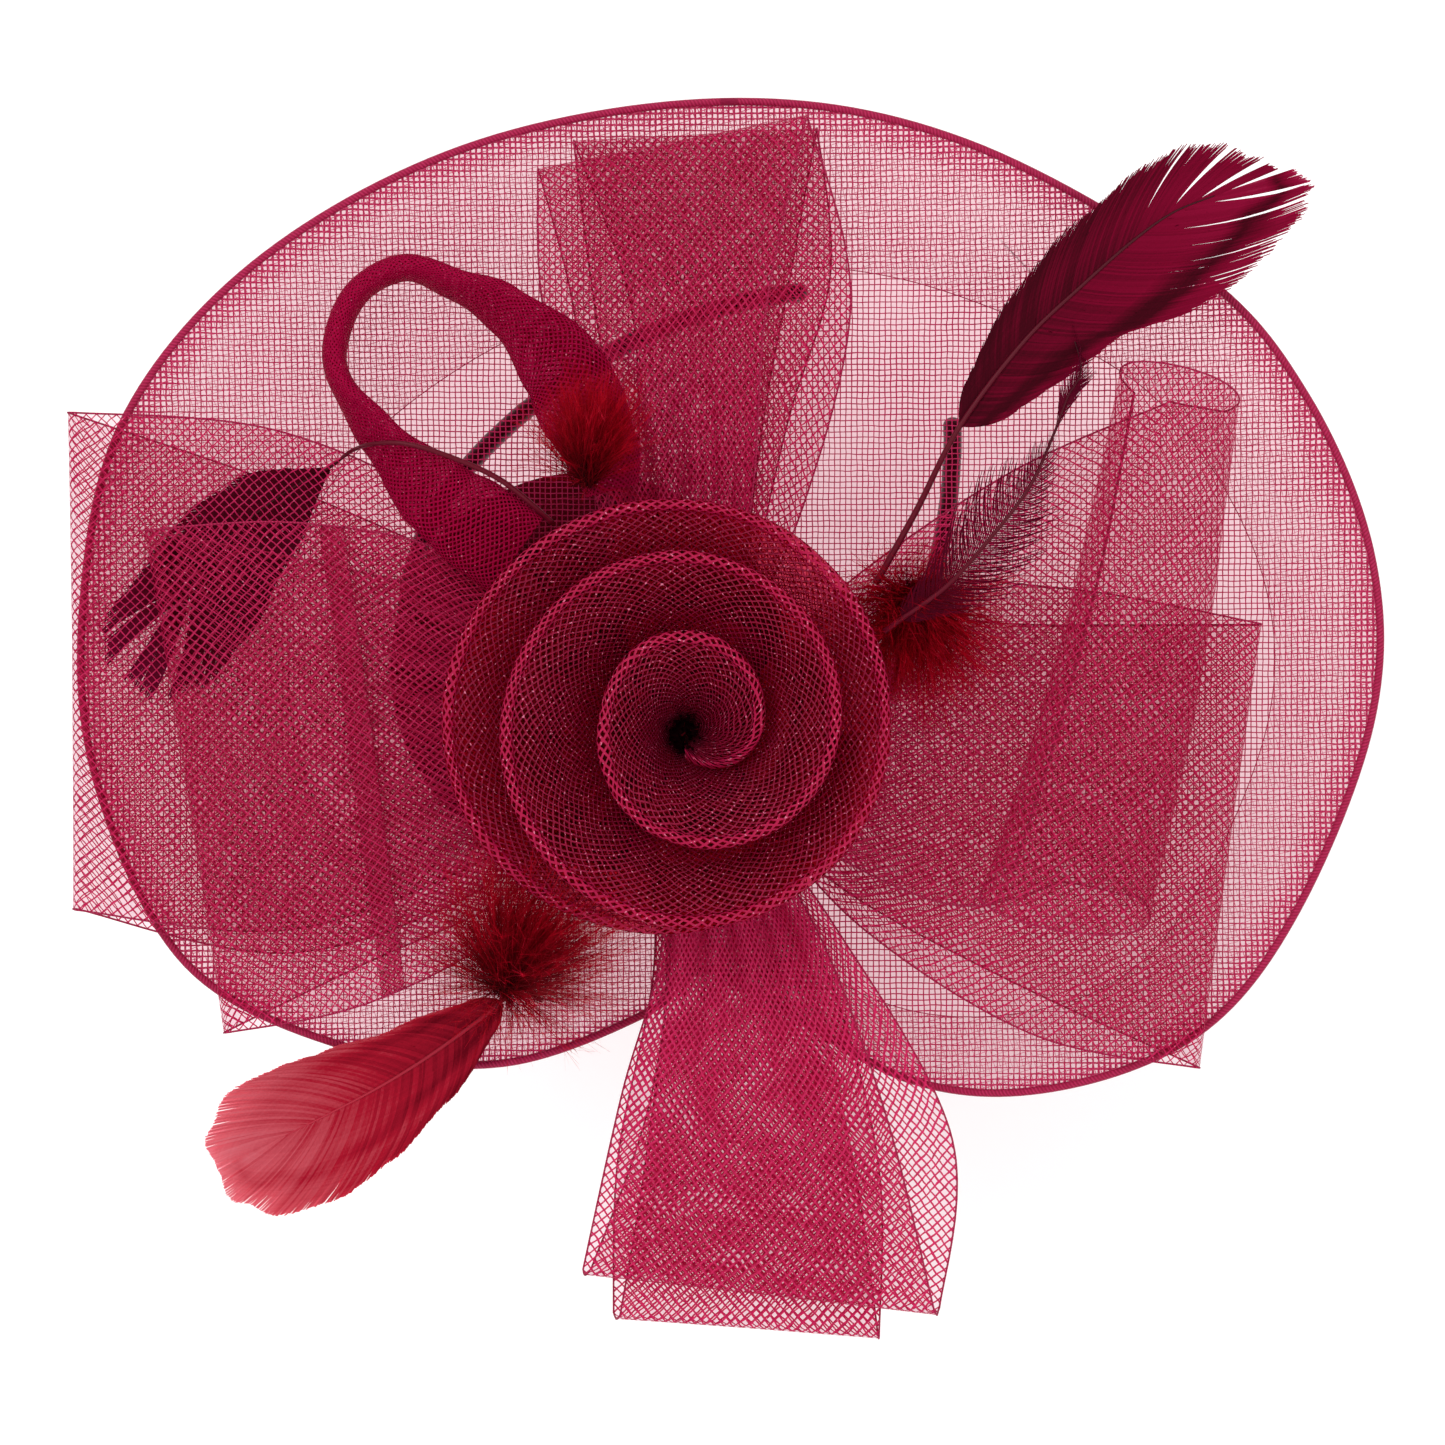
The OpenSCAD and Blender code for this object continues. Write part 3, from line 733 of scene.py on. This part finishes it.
def build_loop(node, mats, seed):
    """A ribbon that runs out from the knot, turns over at its far fold and comes back above itself."""
    upper, lower, faces, width, pleats, tuck = LOOPS[node]
    plans = {"low": ply_plan(lower), "high": ply_plan(upper)}
    length = (plans["high"](1, 0) - plans["high"](0, 0)).length
    low, high = faces[0] + 0.5, faces[1] - 0.5
    fold_r, fold_mid = (high - low) / 2, (high + low) / 2
    reach = 1 - fold_r / length
    # The tails' wider threads are partly their closer net and partly painted shade
    closed = TAIL_CLOSE if node.startswith("ribbon_tail") else 0.0
    outward = [i / (OUT_ROWS - 1) for i in range(OUT_ROWS)]
    path = [("low", s) for s in outward]
    path += [("fold", (i + 1) / (FOLD_ROWS + 1)) for i in range(FOLD_ROWS)]
    path += [("high", 1 - s) for s in outward]
    points, spans, streaks = [], [], []
    for where, s in path:
        share = 1.0 if where == "fold" else s
        is_high = where == "high"
        fold = pi * (s - 0.5)
        lifted, bulge = tucked(s, tuck if is_high else 0)
        for j in range(CLOTH_COLS):
            across = mix(1, -1, j / (CLOTH_COLS - 1))
            phase = pi * pleats * across + seed + (1.3 if is_high else 0)
            phase += 1.4 * grain(across * 2, share * 1.5, seed)
            if where == "fold":
                out = mix(reach, 1.0, cos(fold))
                p = plans["low"](out, across).lerp(plans["high"](out, across), s)
                height = fold_mid + fold_r * sin(fold)
            else:
                p = plans[where](lifted * reach, across)
                pleat = fold_r * 0.9 * (1 - share) ** 1.3 * (1 + sin(phase))
                height = (high - pleat if is_high else low + pleat) + bulge * 1.3
            drape = 0.8 * grain(p.x * 0.025, p.y * 0.025, seed + (5 if is_high else 0))
            height = clamp(height + drape * smoothstep(0, 0.5, share), low - 0.3, high + 0.6)
            points.append(on_dish(p, height))
            streaks.append(closed + pleat_shade(share, phase))
        spans.append((points[-1] - points[-CLOTH_COLS]).length)
    hairs = [loose_hair(*hair) for hair in LOOSE_HAIRS] if tuck else []
    make_ribbon(node, points, width, spans, streaks, mats, hairs)


# The rolled ribbon: its own width and height above the brim, the turn it rolls through and the turn at which its
# ends start to slant, and steps of its mesh out along the ply and round the roll
CURL_WIDTH, CURL_LIFT = 122.0, 9.5
ROLL_SWEEP, ROLL_RISE = radians(318), radians(60)
CURL_OUT_ROWS, CURL_ROLL_ROWS = 50, 60

# Plan centre of the roll and its half width and half height, at its upper and at its lower end
ROLL_TOP = (Vector((130.8, 84)), 15.5, 13.2)
ROLL_LOW = (Vector((105.5, -35)), 22.0, 9.0)


def build_curl(mats):
    """The right-hand ribbon that runs out over the brim and rolls back over itself in a widening roll."""
    top, low = ROLL_TOP[0], ROLL_LOW[0]
    plan = ply_plan(([(52, 40), (92, 67), tuple(top)], [(44, -26), (78, -41), tuple(low)]))
    axis = (low - top).normalized()
    outward = Vector((-axis.y, axis.x))
    points, spans, streaks = [], [], []
    for i in range(CURL_OUT_ROWS + CURL_ROLL_ROWS):
        for j in range(CLOTH_COLS):
            t = j / (CLOTH_COLS - 1)
            across = mix(1, -1, t)
            if i < CURL_OUT_ROWS:
                s = i / (CURL_OUT_ROWS - 1)
                phase = pi * 7 * across + 0.7 + 1.2 * grain(across * 2, s)
                points.append(on_dish(plan(s, across), CURL_LIFT + 2.2 * (1 - s) ** 1.8 * (1 + sin(phase))))
                streaks.append(pleat_shade(s, phase))
                continue
            streaks.append(0.0)
            wide, tall = mix(ROLL_TOP[1], ROLL_LOW[1], t), mix(ROLL_TOP[2], ROLL_LOW[2], t)
            turn = ROLL_SWEEP * (i - CURL_OUT_ROWS + 1) / CURL_ROLL_ROWS
            tight = 1 - 0.10 * smoothstep(0.6, 1.0, turn / ROLL_SWEEP)
            wave = 0.5 * grain(t * 4, turn, 2.0)
            bow = 3.0 * sin(pi * t) * smoothstep(0, 1, turn / 2)
            over = sin(pi * clamp((turn - ROLL_RISE) / (ROLL_SWEEP - ROLL_RISE)))
            aside = outward * ((wide * tight + wave) * sin(turn) + bow)
            aside += axis * over * (12.0 * t * t - 7.0 * (1 - t) ** 2)
            rise = tall * (1 - tight * cos(turn))
            points.append(on_dish(plan(1, across), CURL_LIFT) + Vector((aside.x, aside.y, rise)))
        spans.append((points[-1] - points[-CLOTH_COLS]).length)
    cut_end = (points[-CLOTH_COLS:], CUT_END_R)
    make_ribbon("ribbon_curl_right", points, CURL_WIDTH, spans, streaks, mats, [cut_end])


# ---- tube loop
# Centre line, half width, half thickness and turn from lying flat, as in the CAD node
TUBE_PATH = [
    (-31, 46, 32), (-41, 53.5, 32), (-51, 61, 31.5), (-65, 75.5, 31), (-75, 90, 29), (-75.5, 101, 28),
    (-70, 112, 27.5), (-58.7, 117.5, 28), (-47, 113.5, 29), (-33.7, 106.6, 31), (-20.7, 93.6, 33),
    (-15, 83, 33.5), (-10, 72, 33), (-7, 62, 32.5),
]
TUBE_WIDE = (11.5, 11.8, 10.5, 7.5, 6.5, 6.5, 6.5, 6.5, 7, 8.5, 11.3, 11.5, 9.5, 7)
TUBE_THICK = (1.2, 1.2, 1.6, 2.4, 3, 3.2, 3.2, 3.2, 3, 2.2, 1.4, 1.2, 1.2, 1.2)
TUBE_GIRTH, TUBE_ROWS, TUBE_SIDES = 46.0, 181, 36
TUBE_TURN = (-10, -12, -20, -50, -84, -90, -92, -96, -108, -132, -156, -168, -172, -172)


def station(values, t):
    """Value at share t along a list of evenly spaced values."""
    x = clamp(t) * (len(values) - 1)
    i = min(int(x), len(values) - 2)
    return mix(values[i], values[i + 1], smoothstep(0, 1, x - i))


def build_tube_loop(mats):
    """A soft net tube that lies flat at both ends and stands on edge round the bend."""
    line = smooth_line(TUBE_PATH, 14)
    points, uvs, dense = [], [], []
    run, before = 0.0, line[0]
    for i in range(TUBE_ROWS):
        t = i / (TUBE_ROWS - 1)
        c, go = along(line, t), tangent(line, t)
        flat = UP.cross(go).normalized()
        turn = radians(station(TUBE_TURN, t))
        wide = flat * cos(turn) + go.cross(flat) * sin(turn)
        face = go.cross(wide)
        half, thick = station(TUBE_WIDE, t), station(TUBE_THICK, t)
        run += (c - before).length
        before = c
        for a in around(TUBE_SIDES):
            x, y = cos(a), sin(a)
            crease = 0.35 * sin(3 * a + 8 * t) * smoothstep(2.5, 1.0, thick) * (1 - x * x)
            points.append(c + wide * (x * half) + face * (squared(y, 0.7) * thick + crease))
            uvs.append((run, TUBE_GIRTH * a / tau))
            dense.append(clamp(11.5 / half - 1) * 0.5)
    faces = grid(TUBE_ROWS, TUBE_SIDES, wrap=True)
    tube = make_object("crin_tube_net", points, faces, uvs, {"dense": dense}, mats["tube"])
    place(tube, "tube_net", "crin_tube_loop")


# ---- rose
# Radius of the rolled rim at each quarter turn from the strip's inner end, which points down, going
# anticlockwise, and the rim's height above the rose's foot
RIM_START = -pi / 2
RIM_RADII = (5, 17.5, 23.5, 19.5, 26, 36.5, 43, 43.5, 46, 49, 56, 58, 47.5, 43)
RIM_ROLL = 1.6
ROSE_ROWS, PLY_STEPS, BEND_STEPS = 560, 22, 7
RIM_HEIGHTS = (12, 25, 31, 32, 31, 30, 28, 27, 26, 23, 21, 20, 18, 15)


def quarter_value(values, turn):
    """Smooth value at a turn angle, from one value for each quarter turn."""
    x = clamp(turn / (pi / 2), 0, len(values) - 1.001)
    i = int(x)
    last = len(values) - 1
    return catmull(values[max(0, i - 1)], values[i], values[i + 1], values[min(last, i + 2)], x - i)


def build_rose(mats):
    """One long strip folded lengthwise and wound: both plies climb outwards like a trumpet to a rolled rim."""
    turns = (len(RIM_RADII) - 1) / 4 * tau
    rows, ply, bend, roll = ROSE_ROWS, PLY_STEPS, BEND_STEPS, RIM_ROLL
    cols = 2 * ply + bend
    centre = Vector((KNOT.x, KNOT.y, ROSE_Z))
    points, uvs, dense, painted_shade = [], [], [], []
    run = 0.0
    for i in range(rows):
        a = turns * i / (rows - 1)
        r = quarter_value(RIM_RADII, a)
        top = quarter_value(RIM_HEIGHTS, a) + 0.5 * grain(a * 1.5)
        inner = quarter_value(RIM_RADII, a - tau) * 0.72 if a > tau else mix(0.8, 3.6, a / tau)
        foot_r = min(inner, r - 3)
        angle = RIM_START + a
        out = polar(1, angle)
        run += r * turns / (rows - 1)

        def wall(t, gap):
            b = pi / 2 * t
            flare = 0.75 * (1 - cos(b)) + 0.25 * t
            climb = 0.8 * sin(b) + 0.2 * t
            return mix(foot_r + gap * 0.6, r + gap * roll, flare), mix(0.4, top - roll, climb)

        profile = [wall(k / (ply - 1), 1.0) for k in range(ply)]
        for k in range(bend):
            b = pi * (k + 1) / (bend + 1)
            profile.append((r + roll * cos(b), top - roll + roll * sin(b)))
        profile += [wall(1 - k / (ply - 1), -1.0) for k in range(ply)]
        length = 0.0
        for k, (pr, pz) in enumerate(profile):
            if k:
                length += hypot(pr - profile[k - 1][0], pz - profile[k - 1][1])
            ripple = 0.4 * grain(a * 3, k * 0.2, 4.0)
            points.append(centre + out * (pr + ripple) + UP * pz)
            uvs.append((run, length))
            # Threads close up at the rolled rim, where the rose's shine also paints a highlight
            dense.append(0.5 * smoothstep(6, 1, abs(k - ply - bend // 2)))
            # Painted shade: the strip darkens the deeper it lies in the funnel
            painted_shade.append(0.75 * clamp(1.05 - pz / top) ** 0.8)
    values = {"dense": dense, "painted_shade": painted_shade}
    strip = make_object("rose_strip_net", points, grid(rows, cols), uvs, values, mats["rose"])
    place(strip, "rose_net", "rose_spiral", "rose_outer_ring")
    hems = Strands()
    for k in (0, cols - 1):
        hems.tube([points[i * cols + k] for i in range(0, rows, 2)], HEM_WIDE)
    hem = place(hems.build("rose_strip_hem", mats["hem"]), "hem_cord")


def build_rose_heart(mats):
    """Raw threads that close the rose's middle, coloured near black as painted shade deep in the funnel."""
    heart = Strands()
    random.seed(11)
    for _ in range(110):
        a = random.uniform(0, tau)
        r = random.uniform(2.0, 6.5)
        base = Vector((KNOT.x + r * cos(a), KNOT.y + r * sin(a), ROSE_Z + 1))
        lean = polar(1, a + 0.6) * random.uniform(0.2, 5.0)
        tip = Vector((KNOT.x, KNOT.y, ROSE_Z + random.uniform(9, 15))) + lean
        line = smooth_line([base, base.lerp(tip, 0.5) + lean * 0.4, tip], 5)
        heart.blade(line, Vector((sin(a), -cos(a), 0)), lambda t: mix(1.6, 0.5, t), lambda t: 0.15 * t)
    place(heart.build("rose_heart_threads", mats["heart"]), "rose_net", "rose_heart")


# ---- knot, base and pad
def build_knot(mats):
    """The gathered ends under the rose, bound into a pleated drum."""
    rows, cols, folds, fold_deep = 14, 220, 34, 0.8
    verts, uvs = [], []
    for i in range(rows):
        t = i / (rows - 1)
        z = mix(KNOT_LOW.z, KNOT_HIGH.z, t)
        waist = 1 - 0.10 * sin(pi * t)
        for a in around(cols):
            r = KNOT_R * waist - 0.9 + fold_deep * sin(folds * a + 0.8 * sin(3 * a))
            verts.append(Vector((KNOT.x + r * cos(a), KNOT.y + r * sin(a), z)))
            uvs.append((z - KNOT_LOW.z, KNOT_R * a))
    dense = {"dense": [1.2] * len(verts)}
    knot = make_object("gathered_knot", verts, grid(rows, cols, wrap=True), uvs, dense, mats["rose"])
    place(knot, "ribbon_net", "gather_knot")


def build_disc(name, node, material, slot, edge_round, lumps):
    """A soft round disc with a rounded edge and a slightly uneven face, in the space of its node."""
    low, high = node_box(node)
    centre = (low + high) / 2
    radius, half = (high.x - low.x) / 2, (high.z - low.z) / 2
    steps = (0.02, 0.2, 0.4, 0.6, 0.8, 0.92)
    rounded = [radians(x) for x in range(-90, 91, 20)]
    profile = [(radius * t, low.z) for t in steps]
    profile += [(radius - edge_round + edge_round * cos(b), centre.z + half * sin(b)) for b in rounded]
    profile += [(radius * t, high.z) for t in reversed(steps)]
    cols = 144
    verts = []
    for r, z in profile:
        for a in around(cols):
            x, y = r * cos(a), r * sin(a)
            sink = lumps * (0.5 + 0.5 * grain(x * 0.12, y * 0.12, z))
            verts.append(Vector((centre.x + x, centre.y + y, z + (sink if z < centre.z else -sink))))
    faces = grid(len(profile), cols, wrap=True)
    faces.append(tuple(reversed(range(cols))))
    faces.append(tuple((len(profile) - 1) * cols + j for j in range(cols)))
    return place(make_object(name, verts, faces, material=material), slot, node)


def build_base(mats):
    pad = build_disc("felt_pad_soft", "felt_pad", mats["felt"], "felt", 0.9, 0.15)
    build_disc("base_disc_covered", "base_disc", mats["buckram"], "buckram", 0.6, 0.1)


# ---- headband
# Plan centre of the crown; radius of its arch, and radius and sweep of the flatter legs that run on from it, as in
# the CAD; and which way the folded band points
BAND_CENTRE = Vector((0.0, 29.0))
ARCH_R, LEG_R, LEG_SWEEP = 60.5, 135.0, radians(42)
BAND_TURN = atan2(0.756, 0.655)
LEG_STEPS, ARCH_STEPS = 40, 90

# The covered band's half thickness and half width, the pitch of its satin's turns, and steps of its mesh
BAND_HALF_T, BAND_HALF_W, WRAP_PITCH = 2.4, 4.35, 10.0
BAND_ROWS, BAND_SIDES, CAP_RINGS = 620, 36, 9


def band_line():
    """Centre line of the folded headband from one tip round the crown to the other."""
    ahead, aside = Vector((cos(BAND_TURN), sin(BAND_TURN))), Vector((-sin(BAND_TURN), cos(BAND_TURN)))
    z = node_centre("headband_cover").z

    def leg(sign, share):
        a = pi / 2 - LEG_SWEEP * share
        return ahead * (LEG_R * cos(a)) + aside * sign * (ARCH_R - LEG_R + LEG_R * sin(a))

    arch = [pi / 2 + pi * i / ARCH_STEPS for i in range(ARCH_STEPS + 1)]
    local = [leg(1, 1 - i / LEG_STEPS) for i in range(LEG_STEPS)]
    local += [ahead * (ARCH_R * cos(a)) + aside * (ARCH_R * sin(a)) for a in arch]
    local += [leg(-1, (i + 1) / LEG_STEPS) for i in range(LEG_STEPS)]
    return [Vector((BAND_CENTRE.x + p.x, BAND_CENTRE.y + p.y, z)) for p in local]


def band_ring(c, go, size=1.0):
    """Points round the band's rounded section, with their angles: thickness across, width along Z."""
    across = go.cross(UP).normalized()
    ring = []
    for a in around(BAND_SIDES):
        thick, wide = BAND_HALF_T * size * squared(cos(a), 0.8), BAND_HALF_W * size * squared(sin(a), 0.8)
        ring.append((c + across * thick + UP * wide, a))
    return ring


def build_band_cover(line, mats):
    """Satin wound round the band, each turn lapping over the one before it."""
    verts, uvs = [], []
    length = sum((a - b).length for a, b in zip(line, line[1:]))
    for i in range(BAND_ROWS):
        t = i / (BAND_ROWS - 1)
        c, run = along(line, t), t * length
        for p, a in band_ring(c, tangent(line, t)):
            wrap = (run / WRAP_PITCH + a / tau) % 1.0
            swell = 0.0704 * smoothstep(0.0, 0.12, wrap) * (1 - 0.55 * wrap)
            verts.append(c + (p - c) * (0.93 + swell))
            uvs.append((run * 0.8 + a * 2, a * 3.5 - run * 0.4))
    faces = grid(BAND_ROWS, BAND_SIDES, wrap=True)
    cover = make_object("headband_satin", verts, faces, uvs, material=mats["satin"])
    place(cover, "satin", "headband_cover", body="headband")


def build_band_tips(line, mats):
    """A rounded satin cap on each end of the band."""
    verts, faces, uvs = [], [], []
    for end, t in ((0, 0.0), (-1, 1.0)):
        go = tangent(line, t) * (1 if end else -1)
        first = len(verts)
        for k in range(CAP_RINGS):
            b = radians(88) * k / (CAP_RINGS - 1)
            for p, a in band_ring(line[end] + go * (2.0 * sin(b)), go, cos(b)):
                verts.append(p)
                uvs.append((3 * b, 3 * a))
        faces += [tuple(first + v for v in face) for face in grid(CAP_RINGS, BAND_SIDES, wrap=True)]
        faces.append(tuple(len(verts) - BAND_SIDES + k for k in range(BAND_SIDES)))
    tips = make_object("headband_tip_caps", verts, faces, uvs, material=mats["satin"])
    place(tips, "satin", "headband_tips", body="headband")


def build_headband(mats):
    line = band_line()
    build_band_cover(line, mats)
    build_band_tips(line, mats)


# ---- feathers
def feather(name, line, lengths, across, count, material, sweeps, seed, cup=0.0, gaps=(), ragged=0.04, shade=None,
            ease=2.2, fill=3.0):
    """A vane of barbs that leave both sides of a line and curve towards its tip.

    lengths gives each side's barbs at even steps from base to tip, and sweeps their angle from the line at base
    and tip; gaps are (side, share, degrees) places where the barbs part; shade changes a barb's tone by side,
    share and place on the barb; fill is how many barb spacings one barb covers.
    """
    random.seed(seed)
    barbs = Strands()
    step = sum((p - q).length for p, q in zip(line, line[1:])) / count
    for side_index, sizes in enumerate(lengths):
        sign = 1 - 2 * side_index
        for i in range(count):
            t = (i + 0.5) / count
            root, go = along(line, t), tangent(line, t)
            side = across(t)
            side = (side - go * side.dot(go)).normalized() * sign
            up = side.cross(go) * sign
            lean = radians(mix(*sweeps[side_index], t ** ease) + random.uniform(-0.6, 0.6))
            for gap_side, share, degrees in gaps:
                if gap_side == side_index:
                    away = (t - share) / 0.045
                    lean += radians(degrees) * (1 if away < 0 else -1) * exp(-abs(away))
            long = station(sizes, t) * random.uniform(1 - ragged, 1 + ragged)
            ridge = 0.10 * sin(i * 2.4)
            points = []
            for k in range(9):
                x = k / 8
                angle = lean * (1.15 - 0.35 * x)
                p = root + (side * sin(angle) + go * cos(angle)) * (long * x)
                points.append(p + up * (cup * long * 0.06 * x * x + ridge * sin(pi * x)))
            wide = max(0.15 * fill, step * fill * sin(max(lean, 0.1)))
            flat = (go * sin(lean) - side * cos(lean)).normalized()
            jitter = random.uniform(-0.1, 0.1)

            def tone(x, t=t, jitter=jitter, side_index=side_index):
                extra = shade(side_index, t, x) if shade else 0
                return clamp(0.55 * t + 0.35 * x + jitter + extra)

            barbs.blade(points, flat, lambda x, wide=wide: wide * mix(1.0, 0.45, x ** 4), tone)
    return barbs.build(name, material)


def finish_feather(which, vane, spine, thick, thin, quill, slot="feather", part="vane"):
    """Places a vane and gives it a shaft along its spine, from the quill's foot to the tip."""
    place(vane, slot, f"feather_{which}_{part}")
    shaft = Strands()
    shaft.tube(spine, thick, thin, sides=8)
    place(shaft.build(f"feather_{which}_shaft", quill), "quill", f"feather_{which}_quill")


def build_right_feather(mats):
    z = node_centre("feather_right_vane").z
    stem = [(58, 39, 31), (68, 57, 36)]
    blade = [(78.5, 77.5, z - 1), (94, 98, z), (108.5, 112, z + 0.4), (121, 123, z), (131, 130, z), (141, 134, z)]
    lengths = ((10, 18, 25, 27, 27, 24, 21, 17), (13, 26, 38, 43, 43, 38, 30, 21))
    gaps = ((0, 0.60, 0.8), (0, 0.76, 2.2), (0, 0.88, 3), (1, 0.66, 1.0), (1, 0.88, 1.6))

    # Tone changes: painted shade as a dark band along the vane's fold on one side; the other side darker towards
    # its barb ends
    def fold(side, t, x):
        if side:
            return -0.8 * bell(x, mix(0.45, 0.8, t), 0.10)
        return -0.15 - 0.25 * smoothstep(0.3, 0.9, x)

    vane = feather(
        "feather_right_barbs", smooth_line(blade, 10), lengths, lambda t: Vector((-0.68, 0.73, 0)), 340,
        mats["feather"], ((38, 3), (52, 2)), 5, 0.5, gaps, 0.035, fold)
    finish_feather("right", vane, smooth_line(stem + blade, 10), 0.9, 0.15, mats["quill"])


def build_left_feather(mats):
    """The feather whose quill dips under the left loops, so that its vane lies against the net below them."""
    stem = [
        (-22, 54, 32), (-34, 64, 38), (-47, 70, 40.5), (-58, 73.2, 40), (-66, 73.4, 35.5), (-71.5, 72.4, 26.5),
        (-74.5, 70.6, 23.8), (-78, 68, 23.4)]
    under_net = (((-78, 68), 7.5), ((-90, 61), 7.8), ((-101, 52), 8.5), ((-110, 42), 9.1), ((-116, 34), 9.1))
    blade = [tuple(on_dish(p, height)) for p, height in under_net]
    lengths = ((1, 13, 17, 19, 24, 22), (2, 20, 30, 33, 30, 22))
    vane = feather(
        "feather_left_barbs", smooth_line(blade, 10), lengths, lambda t: Vector((-0.55, 0.83, 0)), 260,
        mats["dark"], ((56, 14), (68, 4)), 6, 0.0, ((0, 0.85, 2), (1, 0.80, 5)), 0.04)
    finish_feather("left", vane, smooth_line(stem + blade[1:], 9), 0.75, 0.2, mats["quill"])


def build_lower_feather(mats):
    z = node_centre("feather_lower_vane").z
    stem = [(-22, -46, 17), (-30, -58, 18.6)]
    blade = [(-35, -65, z), (-50, -76.5, z), (-64, -85.5, z), (-78, -93, z), (-89, -98.5, z)]
    lengths = ((8, 17, 24, 28, 30, 26, 19), (8, 18, 26, 31, 32, 27, 19))

    # Tone changes: painted shade as dark bands along the folds of the overlapping lobes, and darker towards the
    # lower edge near the base
    def lobes(side, t, x):
        if side:
            edge = 0.35 * smoothstep(0.55, 0.9, x) * (1 - t)
            return -edge - 0.2 * bell(x, 0.2 + 0.6 * t, 0.10)
        return -0.25 * bell(x, 0.55, 0.12) * (1 - t)

    vane = feather(
        "feather_lower_barbs", smooth_line(blade, 10), lengths, lambda t: Vector((-0.53, 0.85, 0)), 320,
        mats["pale"], ((50, 0.5), (50, 0.5)), 7, 0.3, ((1, 0.42, 0.6),), 0.008, lobes, 4.0, 4.5)
    finish_feather(
        "lower", vane, smooth_line(stem + blade, 9), 0.75, 0.12, mats["pale_quill"], slot="feather_pale")


def build_curl_feather(mats):
    """The small narrow feather that twists round its own quill."""
    foot = (60, 27, 38)
    blade = [
        (64, 30, 40), (75, 38, 45), (85, 49, 49), (95, 62, 50), (101, 75, 50), (104.5, 84, 48), (108, 92, 45),
        (104, 106, 39), (92, 120, 37)]

    def twisting(t):
        a = radians(mix(10, 300, smoothstep(0.25, 0.95, t)))
        return Vector((-0.75, 0.66, 0)) * cos(a) + UP * sin(a)

    sizes = (5, 16, 15, 8, 4, 5, 6, 6, 6)
    vane = feather(
        "feather_curl_barbs", smooth_line(blade, 9), (sizes, sizes), twisting, 240, mats["dark"],
        ((52, 10), (52, 10)), 8, ragged=0.3, fill=0.8)
    finish_feather("curl", vane, smooth_line([foot] + blade[:-1], 9), 0.7, 0.15, mats["quill"], part="blade")


# ---- down
# Each tuft: its hairs, their greatest length, the way it leans, how widely it opens, and its seed
PUFFS = {
    "down_puff_top": (1100, 25.0, (0.1, 1.0, 0.1), 0.42, 21),
    "down_puff_right": (1500, 32.0, (0.1, -0.5, 0.2), 0.6, 22),
    "down_puff_lower": (1700, 38.0, (0.3, 0.6, -0.1), 0.6, 23),
}
SIDE_HAIRS = 8


def build_puff(node, mats, count, reach, aim, spread, seed):
    """A tuft of marabou: hairs that spring from a dark centre, each with finer side hairs."""
    random.seed(seed)
    centre = node_centre(node)
    tuft = Strands()
    lead = Vector(aim)
    heart = centre - lead.normalized() * (reach * 0.1)
    for _ in range(count):
        go = scatter(spread) + lead
        go.z *= 0.6
        go.normalize()
        long = reach * random.uniform(0.4, 1.0) * (0.75 + 0.25 * go.dot(lead.normalized()))
        swirl = scatter(0.22)
        start = heart + scatter(1.2)
        side = go.orthogonal().normalized()
        shade = random.uniform(-0.2, 0.2)

        def spot(x):
            return start + go * (long * x) + swirl * (long * x * x * 0.6)

        points = [spot(x) for x in (0, 0.25, 0.5, 0.75, 1.0)]
        tuft.blade(points, side, lambda x: mix(0.20, 0.06, x), lambda x: clamp(x * 0.75 + shade))
        for _ in range(SIDE_HAIRS):
            x = random.uniform(0.15, 0.95)
            root = spot(x)
            off = (go * 1.2 + scatter(0.55)).normalized() * long * 0.22
            curl = scatter(0.12) * long
            hair = [root, root + off * 0.5 + curl * 0.2, root + off + curl * 0.5]
            tuft.blade(hair, side, lambda y: mix(0.10, 0.04, y), lambda y: clamp(x * 0.7 + 0.1 + shade))
    return place(tuft.build(node + "_hairs", mats["down"]), "down", node)


# ---- CAD nodes that stay
def paint_cad(mats):
    kept = {
        "hand_stitches": "thread", "band_keeper": "satin", "headband_core": "core",
        "clip_base": "steel", "clip_pin": "steel", "clip_spring": "steel", "clip_lever": "steel",
    }
    for node, key in kept.items():
        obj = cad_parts[node]
        obj.data.materials.clear()
        obj.data.materials.append(mats[key])


def main():
    make_stage()
    mats = make_materials()
    build_brim(mats)
    for seed, node in enumerate(LOOPS):
        build_loop(node, mats, seed * 1.7)
    for build in (
            build_curl, build_tube_loop, build_rose, build_rose_heart, build_knot, build_base, build_headband,
            build_right_feather, build_left_feather, build_lower_feather, build_curl_feather):
        build(mats)
    for node, shape in PUFFS.items():
        build_puff(node, mats, *shape)
    paint_cad(mats)


main()
